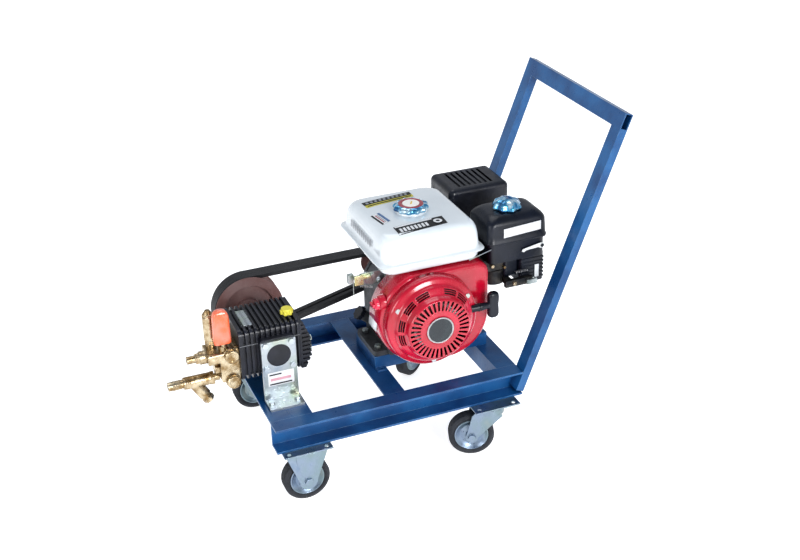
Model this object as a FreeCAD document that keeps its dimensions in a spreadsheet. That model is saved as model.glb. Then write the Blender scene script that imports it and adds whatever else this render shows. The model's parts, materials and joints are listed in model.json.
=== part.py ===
import FreeCAD, Part
import math
import os

import Sketcher
from FreeCAD import Placement, Rotation, Vector

# Engine-driven high-pressure plunger pump on a four-caster trolley.
# Frame: +X runs along the trolley towards its push handle, -Y is the starter
# side of the engine, +Z is up. The origin is on the floor below the middle of
# the rectangular deck. Both crankshafts lie along Y. Lengths are millimetres.

SIZES = {
    # trolley deck: two channel rails and four angle cross members
    "deck_length": 555, "deck_width": 420, "deck_top": 188,
    "rail_depth": 56, "rail_flange": 37, "rail_web": 4, "steel": 4.5, "angle_leg": 45,
    # push handle: rectangular tube, leaning towards +X
    "handle_lean": 21.35, "tube_thin": 18, "tube_wide": 33, "tube_wall": 2,
    "handle_bar": 35, "handle_foot_z": 139,
    "handle_leg": 603.8,
    # casters
    "wheel_radius": 50, "tyre_width": 30, "rim_radius": 37, "hub_radius": 13,
    "axle_radius": 5, "caster_top": 132, "caster_plate": 3,
    "plate_along": 104, "plate_across": 80, "trail": 42,
    "rigid_x": -216, "rigid_y": 190, "swivel_x": 206, "swivel_y": 200,
    "near_swivel_turn": 20, "far_swivel_turn": -37,
    # engine subframe
    "base_left": -8, "base_right": 259, "base_top": 218,
    # engine
    "engine_x": 88, "engine_z": 333, "cylinder_y": 20, "cylinder_tilt": 65,
    "bore_radius": 34, "crank_throw": 27, "shaft_radius": 12.5,
    "shroud_radius": 108, "shroud_front": -140, "shroud_back": -78, "shroud_top": 434,
    "shroud_right": 230, "scroll_radius": 95, "scroll_x": 135, "scroll_z": 315,
    "sheet_metal": 2, "recoil_radius": 102, "recoil_front": -203, "recoil_bolt_circle": 90,
    # fuel tank
    "tank_left": -15, "tank_right": 225, "tank_near": -140, "tank_far": 118,
    "tank_seam": 460, "tank_top": 526,
    # belt drive
    "belt_inner_y": 127.5, "belt_pitch": 17.5, "belt_top_width": 17, "belt_height": 10,
    "small_pulley": 39, "large_pulley": 77,
    # pump
    "pump_x": -228, "pump_z": 294, "pump_left": -305, "pump_right": -176,
    "pump_near": -80, "pump_far": 45, "pump_bottom": 238, "pump_top": 355,
    "pump_throw": 9, "plunger_radius": 9, "plunger_pitch": 34, "plunger_mid_y": -17,
    "gallery_x": -321.5, "outlet_z": 302, "inlet_z": 242, "gallery_radius": 16,
    "inlet_y": -45,
    # clearance of a turning or sliding fit, on the radius
    "fit": 0.05,
}

STEP_FOLDER = "parts"
ACROSS_CORNERS = 2 / math.sqrt(3)
TURN = {
    "X": Rotation(Vector(0, 1, 0), 90),
    "Y": Rotation(Vector(1, 0, 0), -90),
    "Z": Rotation(),
}

doc = FreeCAD.newDocument("PumpTrolley")
sheet = doc.addObject("Spreadsheet::Sheet", "Sheet")
for row, (alias, number) in enumerate(SIZES.items(), start=1):
    sheet.set(f"A{row}", alias)
    sheet.set(f"B{row}", str(number))
    sheet.setAlias(f"B{row}", alias)
doc.recompute()


class Size:
    """A size that knows its number and the sheet formula that gives it."""

    def __init__(self, number, formula):
        self.number = number
        self.formula = formula

    def __add__(self, other):
        other = sized(other)
        return Size(self.number + other.number, f"({self.formula} + {other.formula})")

    def __sub__(self, other):
        other = sized(other)
        return Size(self.number - other.number, f"({self.formula} - {other.formula})")

    def __mul__(self, other):
        other = sized(other)
        return Size(self.number * other.number, f"({self.formula} * {other.formula})")

    def __truediv__(self, other):
        other = sized(other)
        return Size(self.number / other.number, f"({self.formula} / {other.formula})")

    def __neg__(self):
        return sized(0) - self

    def __radd__(self, other):
        return sized(other) + self

    def __rsub__(self, other):
        return sized(other) - self

    def __rmul__(self, other):
        return sized(other) * self


class SheetSizes:
    """Gives each cell of the sheet as a Size, by its alias."""

    def __getattr__(self, alias):
        return Size(float(SIZES[alias]), f"Sheet.{alias}")


S = SheetSizes()
NODES = []


def sized(value):
    if isinstance(value, Size):
        return value
    return Size(float(value), f"({float(value)!r})")


def bind(obj, prop, value):
    """Sets a property from the sheet, or plainly where no cell is involved."""
    value = sized(value)
    if "Sheet." in value.formula:
        obj.setExpression(prop, value.formula)
    elif "." not in prop:
        setattr(obj, prop, value.number)


def place(obj, at, rotation=None):
    """Puts an object's own origin at a point, turned by a rotation."""
    at = [sized(part) for part in at]
    base = Vector(*[part.number for part in at])
    obj.Placement = Placement(base, rotation or Rotation())
    for name, part in zip("xyz", at):
        bind(obj, f"Placement.Base.{name}", part)
    return obj


def add(kind, name, sizes, at, rotation=None):
    """Makes one Part primitive with bound sizes at a bound place."""
    obj = doc.addObject(kind, name)
    for prop, value in sizes.items():
        bind(obj, prop, value)
    return place(obj, at, rotation)


def box(x, y, z, name="Block"):
    """A box between two values along each axis."""
    sizes = {
        "Length": sized(x[1]) - x[0],
        "Width": sized(y[1]) - y[0],
        "Height": sized(z[1]) - z[0],
    }
    return add("Part::Box", name, sizes, (x[0], y[0], z[0]))


def rod(axis, start, radius, length, name="Rod"):
    """A cylinder that runs from a point along +X, +Y or +Z."""
    return add("Part::Cylinder", name, {"Radius": radius, "Height": length}, start, TURN[axis])


def cone(axis, start, radius, end_radius, length, name="Taper"):
    sizes = {"Radius1": radius, "Radius2": end_radius, "Height": length}
    return add("Part::Cone", name, sizes, start, TURN[axis])


def hexagon(axis, start, across_flats, length, name="Hexagon"):
    """A hexagonal bar, such as a bolt head or a nut."""
    sizes = {"Circumradius": sized(across_flats) * (ACROSS_CORNERS / 2), "Height": length}
    obj = add("Part::Prism", name, sizes, start, TURN[axis])
    obj.Polygon = 6
    return obj


def taper(low, high, z, name="Taper"):
    """A frustum between two rectangles, each ((x, x), (y, y)), at two heights."""
    sizes = {
        "Xmin": low[0][0], "Xmax": low[0][1], "X2min": high[0][0], "X2max": high[0][1],
        "Zmin": -sized(low[1][1]), "Zmax": -sized(low[1][0]),
        "Z2min": -sized(high[1][1]), "Z2max": -sized(high[1][0]),
        "Ymin": z[0], "Ymax": z[1],
    }
    return add("Part::Wedge", name, sizes, (0, 0, 0), Rotation(Vector(1, 0, 0), 90))


def fuse(*shapes):
    if len(shapes) == 1:
        return shapes[0]
    obj = doc.addObject("Part::MultiFuse", "Joined")
    obj.Shapes = list(shapes)
    obj.Refine = True
    return obj


def cut(base, *tools):
    obj = doc.addObject("Part::Cut", "Trimmed")
    obj.Base = base
    obj.Tool = fuse(*tools)
    obj.Refine = True
    return obj


def common(first, second):
    obj = doc.addObject("Part::Common", "Overlap")
    obj.Base = first
    obj.Tool = second
    return obj


def ring(axis, start, outer, inner, length):
    """A tube or washer."""
    return cut(rod(axis, start, outer, length), rod(axis, start, inner, length))


def group(*solids):
    """Separate solids that share one node."""
    obj = doc.addObject("Part::Compound", "Set")
    obj.Links = list(solids)
    return obj


def rounded(obj, radius, chosen):
    """Rounds the edges that the chooser accepts."""
    doc.recompute()
    edges = [
        (index, radius, radius)
        for index, edge in enumerate(obj.Shape.Edges, start=1)
        if chosen(edge)
    ]
    result = doc.addObject("Part::Fillet", "Rounded")
    result.Base = obj
    result.Edges = edges
    return result


def along(axis, keep=None):
    """Chooses straight edges that run along an axis, and pass a test of their middle."""
    direction = {"X": Vector(1, 0, 0), "Y": Vector(0, 1, 0), "Z": Vector(0, 0, 1)}[axis]

    def chosen(edge):
        if not isinstance(edge.Curve, Part.Line):
            return False
        if abs(abs(edge.Curve.Direction.dot(direction)) - 1) > 1e-6:
            return False
        return keep is None or keep(edge.CenterOfMass)

    return chosen


def outline(sketch, points):
    """Draws a closed outline whose corners are each held by two bound distances."""
    corners = [(sized(a), sized(b)) for a, b in points]
    count = len(corners)
    for index in range(count):
        here = corners[index]
        there = corners[(index + 1) % count]
        start = Vector(here[0].number, here[1].number, 0)
        end = Vector(there[0].number, there[1].number, 0)
        sketch.addGeometry(Part.LineSegment(start, end))
    for index in range(count):
        following = (index + 1) % count
        sketch.addConstraint(Sketcher.Constraint("Coincident", index, 2, following, 1))
    for index, corner in enumerate(corners):
        for kind, value in zip(("DistanceX", "DistanceY"), corner):
            datum = Sketcher.Constraint(kind, -1, 1, index, 1, value.number)
            number = sketch.addConstraint(datum)
            if "Sheet." in value.formula:
                sketch.setExpression(f"Constraints[{number}]", value.formula)


def sketched(body, plane, points):
    sketch = body.newObject("Sketcher::SketchObject", "Outline")
    planes = [part for part in body.Origin.OriginFeatures if part.Role == plane]
    sketch.AttachmentSupport = [(planes[0], "")]
    sketch.MapMode = "FlatFace"
    outline(sketch, points)
    return sketch


def padded(plane, points, length, at=(0, 0, 0), rotation=None):
    """A body padded from an outline on one of its own planes."""
    body = doc.addObject("PartDesign::Body", "Body")
    sketch = sketched(body, plane, points)
    pad = body.newObject("PartDesign::Pad", "Pad")
    pad.Profile = sketch
    bind(pad, "Length", length)
    if plane == "XZ_Plane":
        pad.Reversed = True
    return place(body, at, rotation)


def turned(points, at=(0, 0, 0), rotation=None):
    """A body turned on a lathe: points are (radius, height along the axis)."""
    body = doc.addObject("PartDesign::Body", "Body")
    sketch = sketched(body, "XZ_Plane", points)
    revolution = body.newObject("PartDesign::Revolution", "Revolution")
    revolution.Profile = sketch
    revolution.ReferenceAxis = (sketch, ["V_Axis"])
    revolution.Angle = 360
    return place(body, at, rotation)


def node(label, obj):
    """Names a finished piece: its label is the name of its node and of its file."""
    obj.Label = label
    NODES.append(obj)
    return obj


def round_spots(radius, count, x=0, y=0):
    """Points spaced evenly round a circle in the XY plane."""
    angles = [2 * math.pi * index / count for index in range(count)]
    return [(x + radius * math.cos(angle), y + radius * math.sin(angle)) for angle in angles]


def bolt(axis, start, size, shank, head=None, name="Bolt"):
    """A hexagon bolt: the head stands on the start point, the shank runs on along +axis."""
    head_height = head or 0.65 * size
    step = Vector(*[float(letter == axis) for letter in "XYZ"])
    back = [sized(part) - move * head_height for part, move in zip(start, step)]
    hexagonal = hexagon(axis, back, 1.65 * size, head_height)
    return fuse(hexagonal, rod(axis, start, size / 2, shank))


# ------------------------------------------------------------------ trolley

HALF_LENGTH = S.deck_length / 2
HALF_WIDTH = S.deck_width / 2
RAIL_BOTTOM = S.deck_top - S.rail_depth


def channel_rail(open_y, web_y, inner_web_y):
    """A channel: two flanges from its open side to its web."""
    top = S.deck_top
    flange_low = S.deck_top - S.steel
    flange_high = RAIL_BOTTOM + S.steel
    points = [
        (open_y, top), (web_y, top), (web_y, RAIL_BOTTOM), (open_y, RAIL_BOTTOM),
        (open_y, flange_high), (inner_web_y, flange_high),
        (inner_web_y, flange_low), (open_y, flange_low),
    ]
    return padded("YZ_Plane", points, S.deck_length, (-HALF_LENGTH, 0, 0))


def make_rails():
    near_web = S.rail_flange - HALF_WIDTH
    near = channel_rail(-HALF_WIDTH, near_web, near_web - S.rail_web)
    far_open = HALF_WIDTH - S.rail_flange
    far = channel_rail(far_open, HALF_WIDTH, HALF_WIDTH - S.rail_web)
    node("side_rails", group(near, far))


def angle_member(left_x, leg_at_right):
    """An angle with its flat leg on top and its other leg hanging down."""
    right = left_x + S.angle_leg
    top = S.deck_top
    low = top - S.steel
    bottom = top - S.angle_leg
    if leg_at_right:
        inner = right - S.steel
        points = [
            (left_x, top), (right, top), (right, bottom),
            (inner, bottom), (inner, low), (left_x, low),
        ]
    else:
        inner = left_x + S.steel
        points = [
            (left_x, top), (right, top), (right, low),
            (inner, low), (inner, bottom), (left_x, bottom),
        ]
    half_span = HALF_WIDTH - S.rail_flange
    return padded("XZ_Plane", points, 2 * half_span, (0, -half_span, 0))


def make_cross_members():
    members = group(
        angle_member(-HALF_LENGTH, True),
        angle_member(S.angle_leg - HALF_LENGTH, False),
        angle_member(sized(-27.5), True),
        angle_member(HALF_LENGTH - S.angle_leg, False),
    )
    node("cross_members", members)


ENGINE_FOOT_X = (7, 169)
ENGINE_FOOT_Y = (-49, 26.5)


def make_engine_base():
    """Two short rails on the deck, closed by a plate at each end, carry the engine."""
    x = (S.base_left, S.base_right)
    flange_z = (S.base_top - S.steel, S.base_top)
    web_z = (S.deck_top, S.base_top)
    pieces = [
        box(x, (-69, -29), flange_z),
        box(x, (-69, -69 + S.steel), web_z),
        box(x, (7, 47), flange_z),
        box(x, (47 - S.steel, 47), web_z),
        box((S.base_left, S.base_left + S.steel), (-69, 47), web_z),
        box((S.base_right - S.steel, S.base_right), (-69, 47), web_z),
        box((S.base_left, 14), (-84, -68), (S.deck_top, S.deck_top + S.steel)),
    ]
    holes = [
        rod("Z", (x_hole, y_hole, S.base_top - 10), 4.3, 20)
        for x_hole in ENGINE_FOOT_X
        for y_hole in ENGINE_FOOT_Y
    ]
    holes.append(rod("Z", (4, -77, S.deck_top - 1), 3, 10))
    node("engine_base_frame", cut(fuse(*pieces), *holes))


HANDLE_GAP = 2.1


def make_handle():
    """A tube hoop, open at both ends of its top bar, built upright and then leaned."""
    thin = S.tube_thin
    wide = S.tube_wide
    leg = S.handle_leg
    wall = S.tube_wall
    span = (-HALF_WIDTH, HALF_WIDTH - S.rail_web)
    bar_z = (leg, leg + S.handle_bar)
    solid = [
        box((0, thin), (span[0], span[0] + wide), (0, leg)),
        box((0, thin), (span[1] - wide, span[1]), (0, leg)),
        box((0, thin), span, bar_z),
    ]
    inner_x = (wall, thin - wall)
    hollow = [
        box(inner_x, (span[0] + wall, span[0] + wide - wall), (-1, leg)),
        box(inner_x, (span[1] - wide + wall, span[1] - wall), (-1, leg)),
        box(inner_x, (span[0] - 1, span[1] + 1), (leg + wall, leg + S.handle_bar - wall)),
    ]
    hoop = cut(fuse(*solid), *hollow)
    lean = math.radians(SIZES["handle_lean"])
    foot_x = HALF_LENGTH + HANDLE_GAP - thin * math.cos(lean)
    foot_z = S.handle_foot_z + thin * math.sin(lean)
    tilt = Rotation(Vector(0, 1, 0), SIZES["handle_lean"])
    node("push_handle", place(hoop, (foot_x, 0, foot_z), tilt))


# ------------------------------------------------------------------ casters

FORK_HALF = 21
CHEEK = 3


def make_wheel(name, centre, turn):
    """A rubber tyre bonded to its core, both turned on the same axis."""
    radius = S.wheel_radius
    half = S.tyre_width / 2
    rim = S.rim_radius
    hub_half = FORK_HALF - 1.5
    axis = Rotation(Vector(0, 0, 1), turn).multiply(TURN["Y"])
    tyre = turned(
        [
            (rim, -half + 3), (radius - 7, -half), (radius - 2.5, -half + 4), (radius, -half + 9),
            (radius, half - 9), (radius - 2.5, half - 4), (radius - 7, half), (rim, half - 3),
        ],
        centre, axis,
    )
    bore = S.axle_radius + S.fit
    hub = S.hub_radius
    wheel = turned(
        [
            (bore, -hub_half), (hub, -hub_half), (hub, -6), (rim - 6, -4),
            (rim - 4, -half + 3), (rim, -half + 3), (rim, half - 3), (rim - 4, half - 3),
            (rim - 6, 4), (hub, 6), (hub, hub_half), (bore, hub_half),
        ],
        centre, axis,
    )
    node(f"{name}_wheel", group(tyre, wheel))


def fork_cheek(y_inner, top_z):
    """One side of a fork: broad at the top and rounded about the axle."""
    centre_z = S.wheel_radius
    plate = padded(
        "XZ_Plane",
        [(-44, top_z), (44, top_z), (42, top_z - 16), (19, centre_z), (-19, centre_z),
         (-42, top_z - 16)],
        CHEEK, (0, y_inner, 0),
    )
    return fuse(plate, rod("Y", (0, y_inner, centre_z), 19, CHEEK))


def caster_plate(x, y):
    """A flat mounting plate with a slot near each corner."""
    half_x = S.plate_along / 2
    half_y = S.plate_across / 2
    z = (S.caster_top - S.caster_plate, S.caster_top)
    plate = box((x - half_x, x + half_x), (y - half_y, y + half_y), z)
    slots = []
    for side_x in (-40, 40):
        for side_y in (-30, 30):
            hole = (x + side_x, y + side_y, z[0] - 1)
            slots.append(rod("Z", hole, 4.5, 6))
    return cut(plate, *slots)


def axle_bolt(centre, turn):
    """The bolt through a fork, with its head outside one cheek and its nut outside the other."""
    reach = FORK_HALF + CHEEK
    pin = fuse(
        rod("Y", (0, -reach, 0), S.axle_radius, 2 * reach),
        hexagon("Y", (0, -reach - 5, 0), 16, 5),
        hexagon("Y", (0, reach, 0), 16, 7),
        rod("Y", (0, reach + 6, 0), S.axle_radius, 5),
    )
    return place(pin, centre, Rotation(Vector(0, 0, 1), turn))


def rigid_fork(y):
    """A fixed caster housing: mounting plate, arched sides and lips at both ends."""
    x = S.rigid_x
    hole = rod("Y", (0, -FORK_HALF - CHEEK - 1, S.wheel_radius), S.axle_radius, 2 * FORK_HALF + 8)
    top = S.caster_top - S.caster_plate
    bridge = box((-44, 44), (-FORK_HALF - CHEEK, FORK_HALF + CHEEK), (top - 3, top))
    sides = fuse(bridge, fork_cheek(FORK_HALF, top), fork_cheek(-FORK_HALF - CHEEK, top))
    fork = place(cut(sides, hole), (x, y, 0))
    return fuse(caster_plate(x, y), fork)


def make_rigid_casters():
    near = rigid_fork(-S.rigid_y)
    far = rigid_fork(S.rigid_y)
    bolts = []
    for name, y in (("near_left", -S.rigid_y), ("far_left", S.rigid_y)):
        centre = (S.rigid_x, y, S.wheel_radius)
        make_wheel(name, centre, 0)
        bolts.append(axle_bolt(centre, 0))
    node("rigid_caster_forks", group(near, far, *bolts))


RACE_TOP = 9
RACE_GAP = 0.5
KINGPIN = 6
CROWN_HEIGHT = 13
CROWN_PLATE = 3
RIVET_HEAD = 4.5


def swivel_plate(y):
    """The fixed half of a swivel: plate, upper race and the kingpin with its rivet head."""
    x = S.swivel_x
    top = S.caster_top - S.caster_plate
    race = ring("Z", (x, y, top - RACE_TOP), 30, 22, RACE_TOP)
    low = top - RACE_TOP - 2 * RACE_GAP - CROWN_PLATE
    pin = rod("Z", (x, y, low), KINGPIN, top - low)
    head = rod("Z", (x, y, low - RIVET_HEAD), 11, RIVET_HEAD)
    cap = rod("Z", (x, y, top - 2), 24, 2)
    return fuse(caster_plate(x, y), race, cap, pin, head)


def swivel_fork(y, turn):
    """The turning half of a swivel caster: crown under the race and the trailing fork."""
    x = S.swivel_x
    crown_top = S.caster_top - S.caster_plate - RACE_TOP - RACE_GAP
    crown_low = crown_top - CROWN_HEIGHT
    crown = rod("Z", (0, 0, crown_low), 30, CROWN_HEIGHT)
    hollow = rod("Z", (0, 0, crown_low - 1), 27, CROWN_HEIGHT - CROWN_PLATE + 1)
    shell = cut(crown, hollow)
    tail = -S.trail
    centre_z = S.wheel_radius
    cheeks = []
    for y_inner in (FORK_HALF, -FORK_HALF - CHEEK):
        plate = padded(
            "XZ_Plane",
            [
                (-30, crown_top - 3), (18, crown_top - 3), (24, crown_low - 3),
                (tail + 13, centre_z), (tail - 13, centre_z), (-42, crown_low - 3),
            ],
            CHEEK, (0, y_inner, 0),
        )
        cheeks.append(fuse(plate, rod("Y", (tail, y_inner, centre_z), 13, CHEEK)))
    bridge = box((-30, 18), (-FORK_HALF - CHEEK, FORK_HALF + CHEEK), (crown_top - 6, crown_top - 3))
    solid = fuse(shell, bridge, *cheeks)
    holes = [
        rod("Y", (tail, -FORK_HALF - CHEEK - 1, centre_z), S.axle_radius, 2 * FORK_HALF + 8),
        rod("Z", (0, 0, crown_low - 5), KINGPIN + S.fit, 30),
        rod("Z", (0, 0, crown_low - 5), 15, CROWN_HEIGHT - CROWN_PLATE + 5),
    ]
    return place(cut(solid, *holes), (x, y, 0), Rotation(Vector(0, 0, 1), turn))


def make_swivel_casters():
    node("swivel_caster_plates", group(swivel_plate(-S.swivel_y), swivel_plate(S.swivel_y)))
    casters = (
        ("near_right", -S.swivel_y, -SIZES["near_swivel_turn"]),
        ("far_right", S.swivel_y, -SIZES["far_swivel_turn"]),
    )
    for name, y, turn in casters:
        angle = math.radians(turn)
        centre = (
            S.swivel_x - S.trail * math.cos(angle),
            y - S.trail * math.sin(angle),
            S.wheel_radius,
        )
        make_wheel(name, centre, turn)
        node(f"{name}_swivel_fork", group(swivel_fork(y, turn), axle_bolt(centre, turn)))


# ------------------------------------------------------------------ engine

CASE_HALF = 66
CASE_NEAR = -75
CASE_FAR = 60
WEB_RADIUS = 42
HEAD_START = 152
HEAD_END = 186
ROCKER_END = 212


def tilted(obj):
    """Turns a piece built along +Z onto the cylinder's axis, which starts at the crank."""
    rotation = Rotation(Vector(0, 1, 0), SIZES["cylinder_tilt"])
    return place(obj, (S.engine_x, S.cylinder_y, S.engine_z), rotation)


FILLER_LENGTH = 34
TANK_SUPPORT = 438


def at_filler(obj):
    """Puts a piece built along +Z on the axis of the oil filler neck."""
    at = (S.engine_x - CASE_HALF + 6, 34, 250)
    return place(group(obj), at, Rotation(Vector(0, 1, 0), -50))


def make_crankcase():
    """The main casting: sump, feet, finned cylinder barrel and the filler neck."""
    x = S.engine_x
    z = S.engine_z
    case_y = CASE_FAR - CASE_NEAR
    sump = rounded(box((x - CASE_HALF, x + CASE_HALF), (CASE_NEAR, CASE_FAR), (S.base_top, z)),
                   8, along("Y"))
    round_top = rod("Y", (x, CASE_NEAR, z), CASE_HALF, case_y)
    feet = rounded(box((x - 96, x + 96), (-68, 45), (S.base_top, S.base_top + 12)), 10, along("Z"))
    barrel = [rod("Z", (0, 0, 40), 45, HEAD_START - 40)]
    for index in range(8):
        low = 88 + 8 * index
        barrel.append(box((-46, 50), (-32, 40), (low, low + 3)))
    cover_side = box((-50, 50), (40, 50), (39, 95))
    barrel = tilted(cut(fuse(*barrel), cover_side))
    neck = at_filler(ring("Z", (0, 0, -2), 12, 8, FILLER_LENGTH + 2))
    pillars = [
        box((44, 58), (-40, -20), (370, TANK_SUPPORT)),
        box((120, 134), (-40, -20), (370, TANK_SUPPORT)),
        box((44, 58), (38, 58), (370, TANK_SUPPORT)),
    ]
    bore = tilted(rod("Z", (0, 0, 0), S.bore_radius, HEAD_START + 1))
    hollows = [
        rod("Y", (x, CASE_NEAR + 17, z), CASE_HALF - 6, case_y),
        box((x - CASE_HALF + 6, x + CASE_HALF - 6), (CASE_NEAR + 17, CASE_FAR + 1),
            (S.base_top + 8, z)),
        rod("Y", (x, CASE_NEAR - 1, z), 26, 19),
        bore,
    ]
    holes = [
        rod("Z", (x_hole, y_hole, S.base_top - 1), 4.3, 20)
        for x_hole in ENGINE_FOOT_X
        for y_hole in ENGINE_FOOT_Y
    ]
    casting = cut(fuse(sump, round_top, feet, barrel, *pillars), *hollows, *holes)
    filler_hole = at_filler(rod("Z", (0, 0, -15), 8, FILLER_LENGTH + 17))
    node("engine_crankcase", fuse(cut(casting, filler_hole), neck))


def make_side_cover():
    """The cover on the drive side holds the second main bearing."""
    x = S.engine_x
    z = S.engine_z
    plate = fuse(
        rod("Y", (x, CASE_FAR, z), CASE_HALF + 2, 8),
        rounded(box((x - CASE_HALF, x + CASE_HALF), (CASE_FAR, CASE_FAR + 8), (S.base_top + 12, z)),
                8, along("Y")),
        cone("Y", (x, CASE_FAR + 8, z), 44, 34, 12),
    )
    cover = cut(plate, rod("Y", (x, CASE_FAR - 1, z), 26, 17), rod("Y", (x, CASE_FAR, z), 16, 30))
    node("crankcase_side_cover", cover)


def make_main_bearings():
    """The ball bearings of both crankshafts, shown as rings that the shafts run in."""
    inner = S.shaft_radius + S.fit
    rings = [
        ring("Y", (S.engine_x, y, S.engine_z), 26, inner, 15)
        for y in (CASE_NEAR + 1, CASE_FAR + 1)
    ]
    rings += [
        ring("Y", (S.pump_x, y - 7, S.pump_z), 26, inner, 14)
        for y in (S.pump_near, S.pump_far)
    ]
    node("main_bearings", group(*rings))


def make_engine_crankshaft():
    """Main shaft with two webs and one throw, in line with the cylinder."""
    x = S.engine_x
    z = S.engine_z
    mid = SIZES["cylinder_y"]
    pieces = [
        rod("Y", (x, -150, z), S.shaft_radius, mid - 12 + 150),
        rod("Y", (x, mid + 12, z), S.shaft_radius, 157 - mid - 12),
        rod("Y", (x, mid - 13, z - S.crank_throw), 14, 26),
    ]
    for y in (mid - 25, mid + 12):
        web = fuse(
            rod("Y", (x, y, z), WEB_RADIUS, 13),
            rod("Y", (x, y, z - S.crank_throw), 17, 13),
        )
        pieces.append(web)
    shaft = cut(fuse(*pieces), box((x - 3, x + 3), (120, 158), (z + S.shaft_radius - 3, z + 20)))
    node("engine_crankshaft", shaft)


def make_flywheel():
    """Flywheel and cooling fan in one, clamped on the end of the shaft."""
    x = S.engine_x
    z = S.engine_z
    disc = ring("Y", (x, -112, z), 78, S.shaft_radius, 14)
    hub = ring("Y", (x, -134, z), 24, S.shaft_radius, 22)
    blades = []
    for index in range(16):
        blade = box((38, 76), (-132, -111), (-1.5, 1.5))
        angle = Rotation(Vector(0, 1, 0), index * 360 / 16)
        blades.append(place_turned(blade, (x, 0, z), angle))
    nut = cut(hexagon("Y", (x, -146, z), 24, 12), rod("Y", (x, -147, z), S.shaft_radius, 14))
    node("flywheel_fan", fuse(disc, hub, nut, *blades))


def place_turned(obj, at, rotation):
    """Turns an already placed piece about the Y axis through a point."""
    base = rotation.multVec(obj.Placement.Base)
    place_at = [sized(part) + move for part, move in zip(at, base)]
    obj.setExpression("Placement.Base.x", None)
    obj.setExpression("Placement.Base.y", None)
    obj.setExpression("Placement.Base.z", None)
    return place(obj, place_at, rotation.multiply(obj.Placement.Rotation))


def shroud_form(inset, front, back):
    """The cover's outline: round about the crank, fuller at the right, square over the cylinder."""
    x = S.engine_x
    z = S.engine_z
    top = S.shroud_top - inset
    right = S.shroud_right - inset
    length = sized(back) - front
    shoulder = padded(
        "XZ_Plane",
        [(x - 4, S.scroll_z), (right, S.scroll_z), (right, top - 22), (right - 22, top), (x - 4, top)],
        length, (0, front, 0),
    )
    form = fuse(
        rod("Y", (x, front, z), S.shroud_radius - inset, length),
        rod("Y", (S.scroll_x, front, S.scroll_z), S.scroll_radius - inset, length),
        shoulder,
    )
    return cut(form, box((x - 100, x + 150), (sized(front) - 1, sized(back) + 1), (top, top + 40)))


SWITCH_Y = -126
SWITCH_Z = 381
SWITCH_SEAT = -18


def make_fan_cover():
    """Pressed cooling shroud, open at the back and holed for the starter at the front."""
    x = S.engine_x
    z = S.engine_z
    wall = S.sheet_metal
    front = S.shroud_front
    outer = shroud_form(0, front, S.shroud_back)
    inner = shroud_form(wall, front + wall, S.shroud_back + 1)
    boss = box((SWITCH_SEAT, 10), (front, front + 30), (SWITCH_Z - 19, SWITCH_Z + 19))
    boss_hollow = box((SWITCH_SEAT + wall, 10), (front + wall, front + 28),
                      (SWITCH_Z - 17, SWITCH_Z + 17))
    inlet = rod("Y", (x, front - 1, z), 88, 10)
    switch_hole = rod("X", (SWITCH_SEAT - 1, SWITCH_Y, SWITCH_Z), 3 + S.fit, 10)
    boss_tool = cut(boss_hollow, rod("Y", (x, front - 10, z), S.shroud_radius, 80))
    node("fan_cover", cut(fuse(outer, boss), inner, inlet, boss_tool, switch_hole))


ROPE_Y = -167
ROPE_RISE = 12
RECOIL_SEAT = -165.2


def recoil_bolt_spots():
    """Where the starter housing is bolted to the shroud: (x, z) of each bolt."""
    angles = [math.radians(degrees) for degrees in (30.5, 151, 270)]
    circle = SIZES["recoil_bolt_circle"]
    return [(S.engine_x + circle * math.cos(a), S.engine_z + circle * math.sin(a)) for a in angles]


def make_recoil_case():
    """Dished starter housing with radial air slots and the post for its reel."""
    x = S.engine_x
    z = S.engine_z
    edge = S.recoil_radius
    front = S.recoil_front
    wall = S.sheet_metal
    back = S.shroud_front
    points = [
        (edge - wall, -back), (edge, -back), (edge, -back + 20), (edge - 5, -back + 25),
        (85, -back + 28), (83, -back + 36), (67, -back + 46), (62, -front), (0, -front),
        (0, -front - wall), (61, -front - wall), (65, -back + 44), (81, -back + 34),
        (83, -back + 26), (edge - 6, -back + 23),
        (edge - wall, -back + 19),
    ]
    outward = Rotation(Vector(1, 0, 0), 90)
    dish = turned(points, (x, 0, z), outward)
    post = rod("Y", (x, front + 1, z), 8, 37)
    slots = []
    for index in range(32):
        blade = box((40, 57), (-210, -190), (-1.3, 1.3))
        slots.append(place_turned(blade, (x, 0, z), Rotation(Vector(0, 1, 0), index * 360 / 32)))
    guide = rod("X", (x + 70, ROPE_Y, z + ROPE_RISE), 8, 35)
    rope_hole = rod("X", (x + 50, ROPE_Y, z + ROPE_RISE), 2.6, 64)
    seats = []
    for spot_x, spot_z in recoil_bolt_spots():
        seats.append(rod("Y", (spot_x, RECOIL_SEAT - 10, spot_z), 6.4, 10))
        seats.append(rod("Y", (spot_x, RECOIL_SEAT - 1, spot_z), 3.2, 10))
    trimmed_guide = cut(guide, rod("Y", (x, -190, z), 80, 40))
    node("recoil_case", cut(fuse(dish, post, trimmed_guide), rope_hole, *slots, *seats))


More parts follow.
